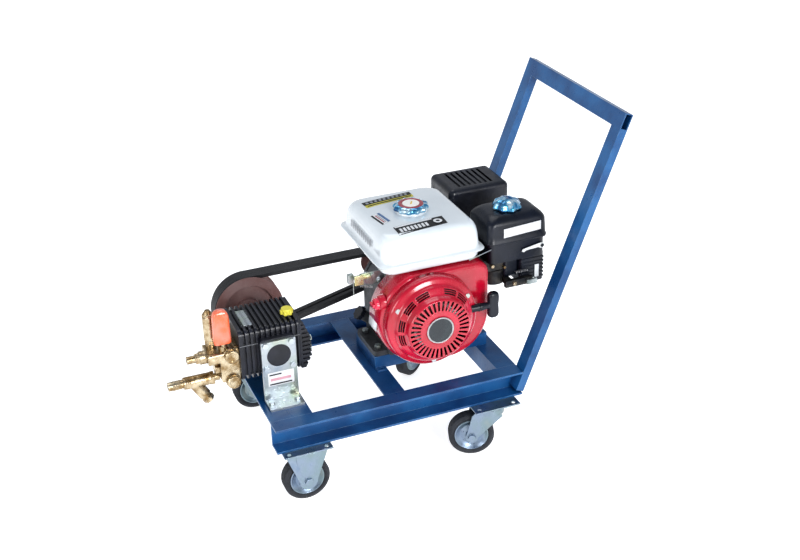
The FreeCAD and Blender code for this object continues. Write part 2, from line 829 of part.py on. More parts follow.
def make_starter():
    """Rope reel, rope and grip. The grip rests against the rope guide."""
    x = S.engine_x
    z = S.engine_z
    reel = cut(
        fuse(rod("Y", (x, -182, z), 50, 3), rod("Y", (x, -179, z), 42, 16),
             rod("Y", (x, -163, z), 50, 3)),
        rod("Y", (x, -190, z), 8 + S.fit, 40),
    )
    node("starter_reel", reel)
    grip_x = x + 137
    rope_z = z + ROPE_RISE
    node("starter_rope", rod("X", (x + 52, ROPE_Y, rope_z), 2.2, grip_x - x - 60))
    bar = box((grip_x - 10, grip_x + 10), (ROPE_Y - 9, ROPE_Y + 9), (rope_z - 29, rope_z + 29))
    arm = cone("X", (x + 105, ROPE_Y, rope_z), 8.5, 7, 29)
    rope_hole = rod("X", (x + 90, ROPE_Y, rope_z), 2.2, grip_x - x - 98)
    grip = cut(fuse(rounded(bar, 7, along("Z")), arm), rope_hole)
    node("starter_grip", grip)


def make_stop_switch():
    """Round stop knob with a grip bar, turning in the boss on the cover's left side."""
    seat = SWITCH_SEAT
    knob = fuse(
        rod("X", (seat - 10, SWITCH_Y, SWITCH_Z), 13, 9.7),
        rod("X", (seat - 1, SWITCH_Y, SWITCH_Z), 3, 8),
        box((seat - 15, seat - 9), (SWITCH_Y - 11, SWITCH_Y + 11), (SWITCH_Z - 3, SWITCH_Z + 3)),
    )
    node("stop_switch", knob)


def make_cylinder_parts():
    """Head, rocker cover and piston, all on the inclined cylinder axis."""
    half_y = 32
    head = box((-34, 34), (-half_y, half_y), (HEAD_START, HEAD_END))
    fins = [box((-40, 40), (-half_y, half_y), (low, low + 3)) for low in (158, 166, 174)]
    head_body = rounded(head, 6, along("Z"))
    node("cylinder_head", tilted(fuse(head_body, *[rounded(fin, 8, along("Z")) for fin in fins])))
    rocker = rounded(box((-27, 27), (-26, 26), (HEAD_END, ROCKER_END)), 10, along("Z"))
    node("rocker_cover", tilted(rocker))
    crown = rod("Z", (0, 0, 80), S.bore_radius - S.fit, 44)
    skirt = rod("Z", (0, 0, 79), S.bore_radius - 4, 34)
    gudgeon_pin = rod("Y", (0, -31, 98), 8, 62)
    node("piston", tilted(cut(crown, cut(skirt, gudgeon_pin))))


def make_exhaust():
    """Silencer box with its inlet pipe, and the slotted heat guard round it."""
    pipe = rounded(box((228, 262), (52, 100), (392, 420)), 6, along("Y"))
    silencer = rounded(box((238, 362), (66, 164), (392, 502)), 14, along("X"))
    studs = [rod("X", (230, 115, z), 5, 140) for z in (432, 480)]
    node("muffler", fuse(pipe, silencer, *studs))
    outer = rounded(box((228, 372), (55, 172), (421, 514)), 12,
                    lambda edge: edge.CenterOfMass.z > 430)
    inner = rounded(box((230, 370), (57, 170), (419, 512)), 10,
                    lambda edge: edge.CenterOfMass.z > 430)
    slots = [box((256 + 13 * index, 262 + 13 * index), (74, 154), (506, 518)) for index in range(7)]
    side_slots = [
        box((222, 235), (76, 150), (428 + 14 * index, 434 + 14 * index)) for index in range(5)
    ]
    node("muffler_guard", cut(outer, inner, *slots, *side_slots))


def make_carburettor():
    """Carburettor with its flange to the head, its bowl and the fuel tap in front."""
    flange = rounded(box((232, 262), (-45, -24), (384, 411)), 6, along("Y"))
    body = rounded(box((232, 292), (-98, -44), (384, 412)), 6, along("Y"))
    bowl = rod("Z", (268, -74, 351), 27, 32)
    drain = hexagon("Z", (268, -74, 343), 14, 9)
    fuel_pipe = box((280, 294), (-126, -80), (354, 366))
    tap = box((276, 340), (-126, -116), (352, 367))
    valve_hole = rod("Y", (TAP_X, -127, TAP_Z), 4 + S.fit, 8)
    node("carburettor", cut(fuse(flange, body, bowl, drain, fuel_pipe, tap), valve_hole))


TAP_X = 329
TAP_Z = 359.5
CHOKE_X = 361
CHOKE_Z = 437
FILTER_X = 301
FILTER_Y = -73


def make_air_cleaner():
    """Moulded tray with its intake elbow, and a lid round a foam element, held by a knob."""
    tray = rounded(box((239, 371), (-120, -20), (412, 456)), 14, along("Z"))
    tray_hollow = box((248, 362), (-111, -29), (418, 457))
    stud = rod("Z", (FILTER_X, FILTER_Y, 417), 3, 104)
    elbow = rounded(box((316, 374), (-112, -52), (348, 413)), 8, along("Z"))
    ribs = [box((318, 372), (-113.5, -110), (356 + 9 * index, 360 + 9 * index)) for index in range(6)]
    duct = box((292, 320), (-90, -60), (383, 412))
    choke_pin = fuse(
        rod("Y", (CHOKE_X, -125, CHOKE_Z), 2.45, 7),
        rod("Y", (CHOKE_X, -126, CHOKE_Z), 4, 1),
    )
    node("air_cleaner_tray", fuse(cut(tray, tray_hollow), stud, elbow, duct, choke_pin, *ribs))
    lid = rounded(box((233, 376), (-125, -15), (456, 516)), 14,
                  lambda edge: edge.CenterOfMass.z > 457)
    hollow = box((239, 370), (-119, -21), (450, 512))
    node("air_cleaner_lid", cut(lid, hollow, rod("Z", (FILTER_X, FILTER_Y, 503), 3.2, 20)))
    foam = cut(rounded(box((256, 354), (-108, -34), (420, 508)), 12, along("Z")),
               rounded(box((274, 336), (-92, -50), (419, 509)), 8, along("Z")))
    node("air_filter_element", foam)
    knob = rounded(rod("Z", (FILTER_X, FILTER_Y, 516), 27, 21), 9,
                   lambda edge: edge.CenterOfMass.z > 534)
    lugs = [rod("Z", (*spot, 516), 6, 10) for spot in round_spots(24, 6, FILTER_X, FILTER_Y)]
    hole = rod("Z", (FILTER_X, FILTER_Y, 515), 3 + S.fit, 8)
    node("air_cleaner_knob", cut(fuse(knob, *lugs), hole))


def make_engine_controls():
    """Choke, fuel and throttle levers, each on its own pivot, and the plate for the throttle."""
    arm = [(-38, -2), (-30, -5), (-6, 3), (4, 6), (6, -3), (0, -6), (-34, -8)]
    choke = padded("XZ_Plane", arm, 1.5, (CHOKE_X, -123, CHOKE_Z))
    node("choke_lever", cut(choke, rod("Y", (CHOKE_X, -130, CHOKE_Z), 2.5, 20)))
    fuel = fuse(rod("Y", (TAP_X, -132, TAP_Z), 4, 12),
                box((TAP_X - 6, TAP_X + 18), (-134, -129), (TAP_Z - 5, TAP_Z + 5)))
    node("fuel_valve_lever", fuel)
    plate = fuse(
        box((-34, 20), (-66, -63), (396, 424)),
        box((-4, 44), (-66, -40), (396, 399)),
        box((20, 44), (-50, -30), (396, 399)),
    )
    node("throttle_plate", cut(plate, rod("Y", (THROTTLE_X, -70, THROTTLE_Z), 4 + S.fit, 20)))
    lever = fuse(
        rod("Y", (THROTTLE_X, -68, THROTTLE_Z), 4, 19),
        rod("Y", (THROTTLE_X, -49, THROTTLE_Z), 9, 3),
        box((-52, THROTTLE_X), (-49, -46), (404, 412)),
        box((-56, -44), (-56, -46), (400, 420)),
    )
    node("throttle_lever", lever)


THROTTLE_X = -14
THROTTLE_Z = 408


def make_tank():
    """Pressed fuel tank: shallow lower shell, rolled seam and crowned upper shell."""
    left = S.tank_left
    right = S.tank_right
    near = S.tank_near
    far = S.tank_far
    seam = S.tank_seam
    top = S.tank_top
    lower = rounded(box((left + 8, right - 8), (near + 8, far - 8), (seam - 22, seam)), 10,
                    lambda edge: edge.CenterOfMass.z < SIZES["tank_seam"] - 1)
    flange = rounded(box((left, right), (near, far), (seam, seam + 4)), 22, along("Z"))
    crown = taper(
        ((left + 8, right - 8), (near + 8, far - 8)),
        ((left + 22, right - 40), (near + 20, far - 44)),
        (seam + 4, top),
    )
    crown = rounded(crown, 20, lambda edge: edge.CenterOfMass.z > SIZES["tank_seam"] + 5)
    neck = rod("Z", (102, -21, top - 4), 31, 10)
    hollow = taper(
        ((left + 20, right - 20), (near + 20, far - 20)),
        ((left + 32, right - 50), (near + 30, far - 54)),
        (seam - 20, top - 3),
    )
    filler = rod("Z", (102, -21, top - 20), 27, 40)
    node("fuel_tank", cut(fuse(lower, flange, crown, neck), hollow, filler))
    cap_z = top + 6
    skirt = rod("Z", (102, -21, cap_z), 35, 8)
    lobes = [rod("Z", (*spot, cap_z), 6, 8) for spot in round_spots(33, 8, 102, -21)]
    disc = rod("Z", (102, -21, cap_z + 8), 27, 3)
    plug = rod("Z", (102, -21, cap_z - 14), 27 - S.fit, 14)
    node("fuel_cap", fuse(skirt, disc, plug, *lobes))


def make_dipstick():
    """Filler cap with its stick, screwed into the crankcase neck."""
    head = rod("Z", (0, 0, FILLER_LENGTH), 14, 10)
    lobes = [rod("Z", (*spot, FILLER_LENGTH), 3, 10) for spot in round_spots(13, 8)]
    plug = rod("Z", (0, 0, FILLER_LENGTH - 16), 8 - S.fit, 16)
    stick = rod("Z", (0, 0, -28), 2, FILLER_LENGTH + 20)
    node("oil_dipstick", at_filler(fuse(head, plug, stick, *lobes)))


# --------------------------------------------------------------- belt drive

def pulley(radius, near_y, centre, bore):
    """A two-groove pulley: each groove is open to the rim and narrows towards the hub."""
    pitch = SIZES["belt_pitch"]
    width = 3 * 17.5 - 13
    points = [(bore, 0), (radius, 0)]
    for index in range(2):
        middle = (width - pitch) / 2 + pitch * index
        points += [
            (radius, middle - 8.55), (radius - 11, middle - 5.05),
            (radius - 11, middle + 5.05), (radius, middle + 8.55),
        ]
    points += [(radius, width), (bore, width)]
    return turned(points, (centre[0], near_y, centre[1]), TURN["Y"])


PULLEY_NEAR = 116.75


def make_pulleys():
    engine = (S.engine_x, S.engine_z)
    pump = (S.pump_x, S.pump_z)
    node("engine_pulley", pulley(S.small_pulley, PULLEY_NEAR, engine, S.shaft_radius))
    large = pulley(S.large_pulley, PULLEY_NEAR, pump, S.shaft_radius)
    dish = [
        ring("Y", (S.pump_x, y, S.pump_z), 56, 24, 12) for y in (PULLEY_NEAR - 1, PULLEY_NEAR + 29)
    ]
    node("pump_pulley", cut(large, *dish))


def belt_loop(middle_y):
    """One V-belt: its section swept round two arcs and the straight runs between them."""
    height = SIZES["belt_height"]
    big = SIZES["large_pulley"] + 1 - height
    small = SIZES["small_pulley"] + 1 - height
    start = Vector(SIZES["pump_x"], middle_y, SIZES["pump_z"])
    end = Vector(SIZES["engine_x"], middle_y, SIZES["engine_z"])
    run = end - start
    slope = math.atan2(run.z, run.x)
    spread = math.acos((big - small) / run.Length)

    def at(centre, radius, angle):
        return centre + Vector(radius * math.cos(angle), 0, radius * math.sin(angle))

    upper = slope + spread
    lower = slope - spread
    corners = (
        at(start, big, upper),
        at(start, big, lower),
        at(end, small, lower),
        at(end, small, upper),
    )
    path = Part.Wire([
        Part.Arc(corners[0], at(start, big, slope + math.pi), corners[1]).toShape(),
        Part.makeLine(corners[1], corners[2]),
        Part.Arc(corners[2], at(end, small, slope), corners[3]).toShape(),
        Part.makeLine(corners[3], corners[0]),
    ])
    outward = Vector(math.cos(upper), 0, math.sin(upper))
    side = Vector(0, 1, 0)
    half_top = SIZES["belt_top_width"] / 2
    half_bottom = 5.2
    section = Part.makePolygon([
        corners[0] - side * half_bottom,
        corners[0] + side * half_bottom,
        corners[0] + side * half_top + outward * height,
        corners[0] - side * half_top + outward * height,
        corners[0] - side * half_bottom,
    ])
    return path.makePipeShell([section], True, True)


def make_belts():
    width = 3 * 17.5 - 13
    first = PULLEY_NEAR + (width - SIZES["belt_pitch"]) / 2
    belts = []
    for y in (first, first + SIZES["belt_pitch"]):
        belt = doc.addObject("Part::Feature", "Belt")
        belt.Shape = belt_loop(y)
        belts.append(belt)
    node("drive_belts", group(*belts))


# --------------------------------------------------------------------- pump

PUMP_CAP_X = -190
PUMP_CAP_Y = -42


def pump_row():
    """The three plunger positions along Y."""
    return [S.plunger_mid_y + S.plunger_pitch * step for step in (-1, 0, 1)]


def make_pump_crankcase():
    """Ribbed crankcase: ribs run round it, with a joint line at mid height."""
    left = S.pump_left
    right = S.pump_right
    near = S.pump_near
    far = S.pump_far
    low = S.pump_bottom
    high = S.pump_top
    inset = 6
    core = rounded(box((left, right), (near + inset, far - inset), (low + inset, high - inset)),
                   10, along("X"))
    ribs = []
    for index in range(12):
        rib_x = left + 3 + 11 * index
        rib = box((rib_x, rib_x + 4.6), (near, far), (low, high))
        ribs.append(rounded(rib, 14, along("X")))
    pads = [
        box((S.pump_x - 38, S.pump_x + 38), (near - 13, near + 12), (S.pump_z - 38, S.pump_z + 38)),
        box((S.pump_x - 38, S.pump_x + 38), (far - 12, far + 13), (S.pump_z - 38, S.pump_z + 38)),
    ]
    plate_seat = box((left + 12, left + 42), (-58, 14), (high - 8, high - 1))
    cap_seat = rod("Z", (PUMP_CAP_X, PUMP_CAP_Y, high - 10), 12, 11)
    end_flange = rounded(box((left, left + 5), (near, far), (low, high)), 14, along("X"))
    row = pump_row()
    hollows = [
        box((S.pump_x - 27, right + 1), (near + 16, far - 16), (low + 14, high - 14)),
        rod("Y", (S.pump_x, near - 14, S.pump_z), 26, far - near + 28),
        rod("Z", (PUMP_CAP_X, PUMP_CAP_Y, high - 20), 8, 30),
    ]
    hollows += [rod("X", (left - 1, y, S.pump_z), 13 + S.fit, 60) for y in row]
    side_pads = [rounded(pad, 8, along("Y")) for pad in pads]
    solid = fuse(core, end_flange, plate_seat, cap_seat, *ribs, *side_pads)
    node("pump_crankcase", cut(solid, *hollows))


COVER_DEPTH = 24


def make_pump_rear_cover():
    """Ribbed cover on the back of the pump, sloped at the top and the bottom."""
    right = S.pump_right
    near = S.pump_near
    low = S.pump_bottom + 2
    high = S.pump_top - 8
    depth = S.pump_far - near
    side = [(0, low), (10, low), (COVER_DEPTH, low + 26), (COVER_DEPTH, high - 38), (9, high),
            (0, high)]
    plate = padded("XZ_Plane", [(right + x, z) for x, z in side], depth, (0, near, 0))
    core = padded("XZ_Plane", [(right + 0.8 * x, z) for x, z in side], depth - 10,
                  (0, near + 5, 0))
    grooves = []
    for index in range(10):
        z = S.pump_bottom + 12 + 10 * index
        grooves.append(box((right + 4, right + COVER_DEPTH + 4), (near - 2, S.pump_far + 2),
                           (z, z + 5)))
    node("pump_rear_cover", fuse(cut(plate, *grooves), core))


def make_pump_rotating():
    """Pump crankshaft with three eccentrics, and the bearings and covers at its ends."""
    x = S.pump_x
    z = S.pump_z
    near = S.pump_near
    far = S.pump_far
    pieces = [rod("Y", (x, near - 5, z), S.shaft_radius, 157 - SIZES["pump_near"] + 5)]
    for index, y in enumerate(pump_row()):
        angle = math.radians(90 + 120 * index)
        lobe_x = x + S.pump_throw * math.cos(angle)
        lobe_z = z + S.pump_throw * math.sin(angle)
        pieces.append(rod("Y", (lobe_x, y - 8, lobe_z), 17, 16))
    node("pump_crankshaft", fuse(*pieces))
    near_cover = fuse(rod("Y", (x, near - 13, z), 26, 6), rod("Y", (x, near - 18, z), 25, 6))
    far_ring = fuse(ring("Y", (x, far + 7, z), 26, 14, 6), ring("Y", (x, far + 12, z), 25, 14, 6))
    node("pump_bearing_covers", group(near_cover, far_ring))


def make_plungers():
    """Each plunger is a crosshead in the crankcase and a ceramic rod into the manifold."""
    for name, y in zip(("near_plunger", "middle_plunger", "far_plunger"), pump_row()):
        crosshead = rod("X", (S.pump_left + 12, y, S.pump_z), 13, 26)
        piston_rod = rod("X", (S.pump_left - 22, y, S.pump_z), S.plunger_radius, 36)
        node(name, fuse(crosshead, piston_rod))


MANIFOLD_NEAR = -72
MANIFOLD_FAR = 34
MANIFOLD_DEPTH = 40


def make_manifold():
    """Forged brass head: two long galleries joined by three plunger chambers."""
    left = S.pump_left
    near = MANIFOLD_NEAR
    length = MANIFOLD_FAR - near
    x = S.gallery_x
    front = left - MANIFOLD_DEPTH
    pieces = [
        rounded(box((front, left), (near, MANIFOLD_FAR), (S.inlet_z, S.outlet_z)), 5, along("Y")),
        rod("Y", (x, near, S.outlet_z), S.gallery_radius, length),
        rod("Y", (x, near, S.inlet_z), S.gallery_radius, length),
        rounded(box((left - 8, left), (near, MANIFOLD_FAR), (S.inlet_z - 4, S.outlet_z + 16)),
                8, along("X")),
        rounded(box((front - BLOCK_OUT, front + 20), (LEVER_Y - 15, COLUMN_Y + 14),
                    (S.pump_z - 8, OUTLET_TOP)), 5, along("X")),
    ]
    holes = [rod("Y", (x, near - 1, z), 9, length + 2) for z in (S.outlet_z, S.inlet_z)]
    holes += [rod("X", (front + 4, y, S.pump_z), 15, MANIFOLD_DEPTH) for y in pump_row()]
    holes.append(rod("X", (front - BLOCK_OUT - 1, S.inlet_y, S.outlet_z - 6), 5, BLOCK_OUT + 8))
    node("pump_manifold", cut(fuse(*pieces), *holes))
    seals = [
        ring("X", (left - 10, y, S.pump_z), 15, S.plunger_radius + S.fit, 10) for y in pump_row()
    ]
    node("plunger_seals", group(*seals))
    plugs = []
    for z in (S.outlet_z, S.inlet_z):
        plugs.append(fuse(rod("Y", (x, near - 7, z), 13, 7), rod("Y", (x, near, z), 9, 2)))
        far = fuse(rod("Y", (x, MANIFOLD_FAR, z), 13, 7), rod("Y", (x, MANIFOLD_FAR - 2, z), 9, 2))
        plugs.append(far)
    plugs += [hexagon("X", (front - 10, y, VALVE_CAP_Z), 22, 10) for y in pump_row()]
    node("gallery_plugs", group(*plugs))


OUTLET_TOP = 310
VALVE_CAP_Z = 268
BLOCK_OUT = 24
COLUMN_X = -353
COLUMN_Y = -30
LEVER_X = -334
LEVER_Y = -57
LEVER_Z = OUTLET_TOP + 26


def make_outlet():
    """Outlet nipple, the pressure regulator column and the relief valve stem beside it."""
    y = S.inlet_y
    z = S.outlet_z - 6
    block_x = S.pump_left - MANIFOLD_DEPTH - BLOCK_OUT
    nipple = fuse(
        rod("X", (block_x - 14, y, z), 14, 14),
        hexagon("X", (block_x - 22, y, z), 22, 8),
        rod("X", (block_x - 40, y, z), 8, 18),
    )
    nipple = cut(nipple, rod("X", (block_x - 41, y, z), 4, 42))
    column = fuse(
        rod("Z", (COLUMN_X, COLUMN_Y, OUTLET_TOP), 11, 8),
        hexagon("Z", (COLUMN_X, COLUMN_Y, OUTLET_TOP + 8), 20, 8),
        rod("Z", (COLUMN_X, COLUMN_Y, OUTLET_TOP + 16), 12, 54),
        hexagon("Z", (COLUMN_X, COLUMN_Y, OUTLET_TOP + 70), 21, 6),
        cone("Z", (COLUMN_X, COLUMN_Y, OUTLET_TOP + 76), 10, 5, 8),
    )
    neck_top = OUTLET_TOP + 12
    tongue = common(
        rod("Z", (LEVER_X, LEVER_Y, neck_top), 8, 24),
        box((LEVER_X - 4, LEVER_X + 4), (LEVER_Y - 9, LEVER_Y + 9), (neck_top, neck_top + 30)),
    )
    stem = fuse(rod("Z", (LEVER_X, LEVER_Y, OUTLET_TOP), 10, 12), tongue)
    pin = rod("X", (LEVER_X - 18, LEVER_Y, LEVER_Z), 3 - S.fit, 36)
    stem = cut(stem, rod("X", (LEVER_X - 18, LEVER_Y, LEVER_Z), 3 - S.fit, 36),
               rod("Y", (S.gallery_x, MANIFOLD_NEAR, S.outlet_z), S.gallery_radius, 106))
    node("outlet_valve_set", group(nipple, column, stem, pin))


def make_relief_lever():
    """Rounded plastic lever, forked over the valve stem and hinged on its pin."""
    form = fuse(
        box((LEVER_X - 18.5, LEVER_X + 18.5), (LEVER_Y - 11, LEVER_Y + 11),
            (LEVER_Z - 8, LEVER_Z + 50)),
        rod("Y", (LEVER_X, LEVER_Y - 11, LEVER_Z + 50), 18.5, 22),
    )
    slot = box((LEVER_X - 4.2, LEVER_X + 4.2), (LEVER_Y - 12, LEVER_Y + 12),
               (LEVER_Z - 20, LEVER_Z + 16))
    node("relief_lever", cut(form, slot, rod("X", (LEVER_X - 25, LEVER_Y, LEVER_Z), 3, 50)))


def make_inlet():
    """Y-strainer on the suction side, with its screen cap and hose tail."""
    y = S.inlet_y
    z = S.inlet_z + 2
    start = S.pump_left - MANIFOLD_DEPTH
    leg_start = (start - 55, y, z)
    down = Rotation(Vector(0, 1, 0), 180 - 31)
    leg = place(rod("Z", (0, 0, 0), 13, 42), leg_start, down)
    strainer = fuse(
        rod("X", (start - 12, y, z), 8, 12),
        hexagon("X", (start - 20, y, z), 27, 8),
        rod("X", (start - 62, y, z), 13, 42),
        leg,
        hexagon("X", (start - 72, y, z), 26, 10),
    )
    strainer = cut(strainer, rod("X", (start - 73, y, z), 6, 74))
    cap = fuse(rod("Z", (0, 0, 42), 11, 8), hexagon("Z", (0, 0, 50), 22, 8))
    node("inlet_strainer", group(strainer, place(cap, leg_start, down)))
    tail_start = start - 72
    profile = [(6, 0), (13, 0), (13, 4), (9.5, 4), (9.5, 10)]
    for barb in (10, 16, 22):
        profile += [(10.5, barb), (9.5, barb + 6)]
    profile += [(9.5, 36), (6, 36)]
    node("inlet_hose_tail", turned(profile, (tail_start, y, z), Rotation(Vector(0, 1, 0), -90)))


def make_pump_brackets():
    """An L plate on each side of the pump stands on the left cross members."""
    plates = []
    for wall_y, foot_y in (((-98, -93), (-138, -93)), ((58, 63), (58, 103))):
        wall = box((-265, -191), wall_y, (S.deck_top, S.deck_top + 140))
        foot = box((-265, -191), foot_y, (S.deck_top, S.deck_top + 5))
        foot_mid = (foot_y[0] + foot_y[1]) / 2
        drill = [rod("Y", (S.pump_x, wall_y[0] - 1, S.pump_z), 25.5, 8)]
        for x in (S.pump_x - 28, S.pump_x + 28):
            for z in (S.pump_z - 28, S.pump_z + 28):
                drill.append(rod("Y", (x, wall_y[0] - 1, z), 4, 8))
            drill.append(rod("Z", (x, foot_mid, S.deck_top - 1), 4.2, 8))
        plates.append(cut(fuse(wall, foot), *drill))
    node("pump_brackets", group(*plates))


def engine_mount_bolts():
    bolts = []
    for x in ENGINE_FOOT_X:
        for y in ENGINE_FOOT_Y:
            head = hexagon("Z", (x, y, S.base_top + 12), 13, 6)
            shank = rod("Z", (x, y, S.base_top - 13), 4, 26)
            nut = hexagon("Z", (x, y, S.base_top - S.steel - 7), 13, 7)
            bolts.append(fuse(head, shank, nut))
    return bolts


def bracket_bolts():
    bolts = []
    foot_top = S.deck_top + 5
    for x in (S.pump_x - 28, S.pump_x + 28):
        for z in (S.pump_z - 28, S.pump_z + 28):
            bolts.append(fuse(hexagon("Y", (x, -103, z), 12, 5), rod("Y", (x, -98, z), 4, 5)))
            bolts.append(fuse(hexagon("Y", (x, 63, z), 12, 5), rod("Y", (x, 58, z), 4, 5)))
        for y in (-115.5, 80.5):
            shank = rod("Z", (x, y, S.deck_top), 4, 5)
            bolts.append(fuse(hexagon("Z", (x, y, foot_top), 12, 5), shank))
    return bolts


def cover_screws():
    screws = []
    for y in (S.pump_near + 18, S.pump_far - 18):
        for z in (S.pump_bottom + 38, S.pump_top - 56):
            screws.append(hexagon("X", (S.pump_right + COVER_DEPTH, y, z), 11, 5))
    return screws


def recoil_bolts():
    return [
        bolt("Y", (spot_x, RECOIL_SEAT, spot_z), 6, S.shroud_front - RECOIL_SEAT)
        for spot_x, spot_z in recoil_bolt_spots()
    ]


def make_bolts():
    """Every hexagon bolt and screw that holds fixed pieces together."""
    bolts = engine_mount_bolts() + bracket_bolts() + cover_screws() + recoil_bolts()
    node("hex_bolts", group(*bolts))


def make_pump_oil_cap():
    high = S.pump_top + 1
    spots = round_spots(10, 6, PUMP_CAP_X, PUMP_CAP_Y)
    lobes = [rod("Z", (*spot, high), 4, 9) for spot in spots]
    head = rod("Z", (PUMP_CAP_X, PUMP_CAP_Y, high), 11, 12)
    plug = rod("Z", (PUMP_CAP_X, PUMP_CAP_Y, high - 13), 8 - S.fit, 13)
    node("pump_oil_cap", fuse(head, plug, *lobes))


def build():
    make_rails()
    make_cross_members()
    make_engine_base()
    make_handle()
    make_rigid_casters()
    make_swivel_casters()
    make_crankcase()
    make_side_cover()
    make_main_bearings()
    make_engine_crankshaft()
    make_flywheel()
    make_fan_cover()
    make_recoil_case()
    make_starter()
    make_stop_switch()
    make_cylinder_parts()
    make_exhaust()
    make_carburettor()
    make_air_cleaner()
    make_engine_controls()
    make_tank()
    make_dipstick()
    make_pulleys()
    make_belts()
    make_pump_crankcase()
    make_pump_rear_cover()
    make_pump_rotating()
    make_plungers()
    make_manifold()
    make_outlet()
    make_relief_lever()
    make_inlet()
    make_pump_brackets()
    make_bolts()
    make_pump_oil_cap()


def check_and_export():
    doc.recompute()
    for obj in doc.Objects:
        if "Invalid" in obj.State or "Error" in obj.State:
            raise RuntimeError(f"{obj.Label} did not compute: {obj.State}")
    for piece in NODES:
        if piece.Shape.isNull() or not piece.Shape.isValid() or not piece.Shape.Solids:
            raise RuntimeError(f"{piece.Label} has no valid solid")
    os.makedirs(STEP_FOLDER, exist_ok=True)
    for piece in NODES:
        piece.Shape.exportStep(os.path.join(STEP_FOLDER, f"{piece.Label}.step"))


build()
check_and_export()
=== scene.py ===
"""Looks of the engine-driven pressure washer pump trolley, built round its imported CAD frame."""
import json
import math

import bmesh
import bpy
from mathutils import Matrix, Vector


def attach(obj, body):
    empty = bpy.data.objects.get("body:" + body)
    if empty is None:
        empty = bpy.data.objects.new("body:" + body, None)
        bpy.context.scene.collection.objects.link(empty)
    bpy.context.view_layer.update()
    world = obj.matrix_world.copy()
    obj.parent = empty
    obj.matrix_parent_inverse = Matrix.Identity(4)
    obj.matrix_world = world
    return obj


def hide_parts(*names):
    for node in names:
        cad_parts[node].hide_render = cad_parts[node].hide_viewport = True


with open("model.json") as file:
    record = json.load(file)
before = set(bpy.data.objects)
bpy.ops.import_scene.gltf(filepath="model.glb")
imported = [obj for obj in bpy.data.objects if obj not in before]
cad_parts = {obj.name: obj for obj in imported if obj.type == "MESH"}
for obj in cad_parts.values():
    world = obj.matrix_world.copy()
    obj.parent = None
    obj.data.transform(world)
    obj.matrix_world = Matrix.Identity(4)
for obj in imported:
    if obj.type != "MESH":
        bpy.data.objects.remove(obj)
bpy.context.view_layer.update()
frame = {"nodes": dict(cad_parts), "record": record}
MM = 0.001

# places in millimetres
ENGINE = (88, 333)          # x and z of the engine's crank centre
ROPE_Y = -167               # the starter rope runs along X at this depth
ROPE_Z = ENGINE[1] + 12
STOP_KNOB = (-126, 381)     # y and z of the stop knob's axis
FILLER = (102, -21)         # x and y of the tank's filler neck
RELIEF_LEVER = (-334, -57)  # x and y of the relief lever
WHEEL_RADIUS = 50
RIGID_CASTER_X = -216
SWIVEL_CASTER_X = 206
SWIVEL_TRAIL = 42


# ------------------------------------------------------------------ materials

class Shader:
    """A node material under construction, mapped in the object's own metres."""

    def __init__(self, name):
        self.material = bpy.data.materials.new(name)
        self.material.use_nodes = True
        self.nodes = self.material.node_tree.nodes
        self.links = self.material.node_tree.links
        self.principled = self.nodes["Principled BSDF"]
        self.coords = self.nodes.new("ShaderNodeTexCoord").outputs["Object"]

    def feed(self, socket, value):
        if isinstance(value, bpy.types.NodeSocket):
            self.links.new(value, socket)
        else:
            socket.default_value = value

    def add(self, kind, inputs, **settings):
        node = self.nodes.new(kind)
        for key, value in settings.items():
            setattr(node, key, value)
        for key, value in inputs.items():
            self.feed(node.inputs[key], value)
        return node

    def set(self, **values):
        for key, value in values.items():
            self.feed(self.principled.inputs[key.replace("_", " ")], value)

    def noise(self, scale, detail=4.0, stretch=(1, 1, 1)):
        mapped = self.add("ShaderNodeMapping", {"Vector": self.coords, "Scale": stretch})
        noise = self.add(
            "ShaderNodeTexNoise", {"Vector": mapped.outputs[0], "Scale": scale, "Detail": detail}
        )
        return noise.outputs["Fac"]

    def wave(self, scale, axis, distortion=0.0):
        wave = self.add(
            "ShaderNodeTexWave",
            {"Vector": self.coords, "Scale": scale, "Distortion": distortion},
            bands_direction=axis,
        )
        return wave.outputs["Fac"]

    def span(self, value, low, high, to_low=0.0, to_high=1.0):
        mapped = self.add(
            "ShaderNodeMapRange",
            {"Value": value, "From Min": low, "From Max": high, "To Min": to_low, "To Max": to_high},
        )
        return mapped.outputs[0]

    def math(self, operation, first, second):
        return self.add("ShaderNodeMath", {0: first, 1: second}, operation=operation).outputs[0]

    def mix(self, factor, first, second):
        node = self.add("ShaderNodeMix", {0: factor, 6: first, 7: second}, data_type="RGBA")
        return node.outputs[2]

    def edge(self, radius, low=0.02, high=0.25):
        """How close a point is to an outer or inner edge, 0 to 1, and the rounded normal there."""
        bevel = self.add("ShaderNodeBevel", {"Radius": radius}, samples=4)
        normal = self.add("ShaderNodeNewGeometry", {}).outputs["Normal"]
        dot = self.add(
            "ShaderNodeVectorMath", {0: bevel.outputs[0], 1: normal}, operation="DOT_PRODUCT"
        )
        lean = self.math("SUBTRACT", 1.0, dot.outputs["Value"])
        return self.span(lean, low, high), bevel.outputs[0]

    def bump(self, height, strength, distance, normal=None):
        inputs = {"Height": height, "Strength": strength, "Distance": distance}
        if normal is not None:
            inputs["Normal"] = normal
        return self.add("ShaderNodeBump", inputs).outputs[0]


def rgb(*colour):
    return (*colour, 1.0)


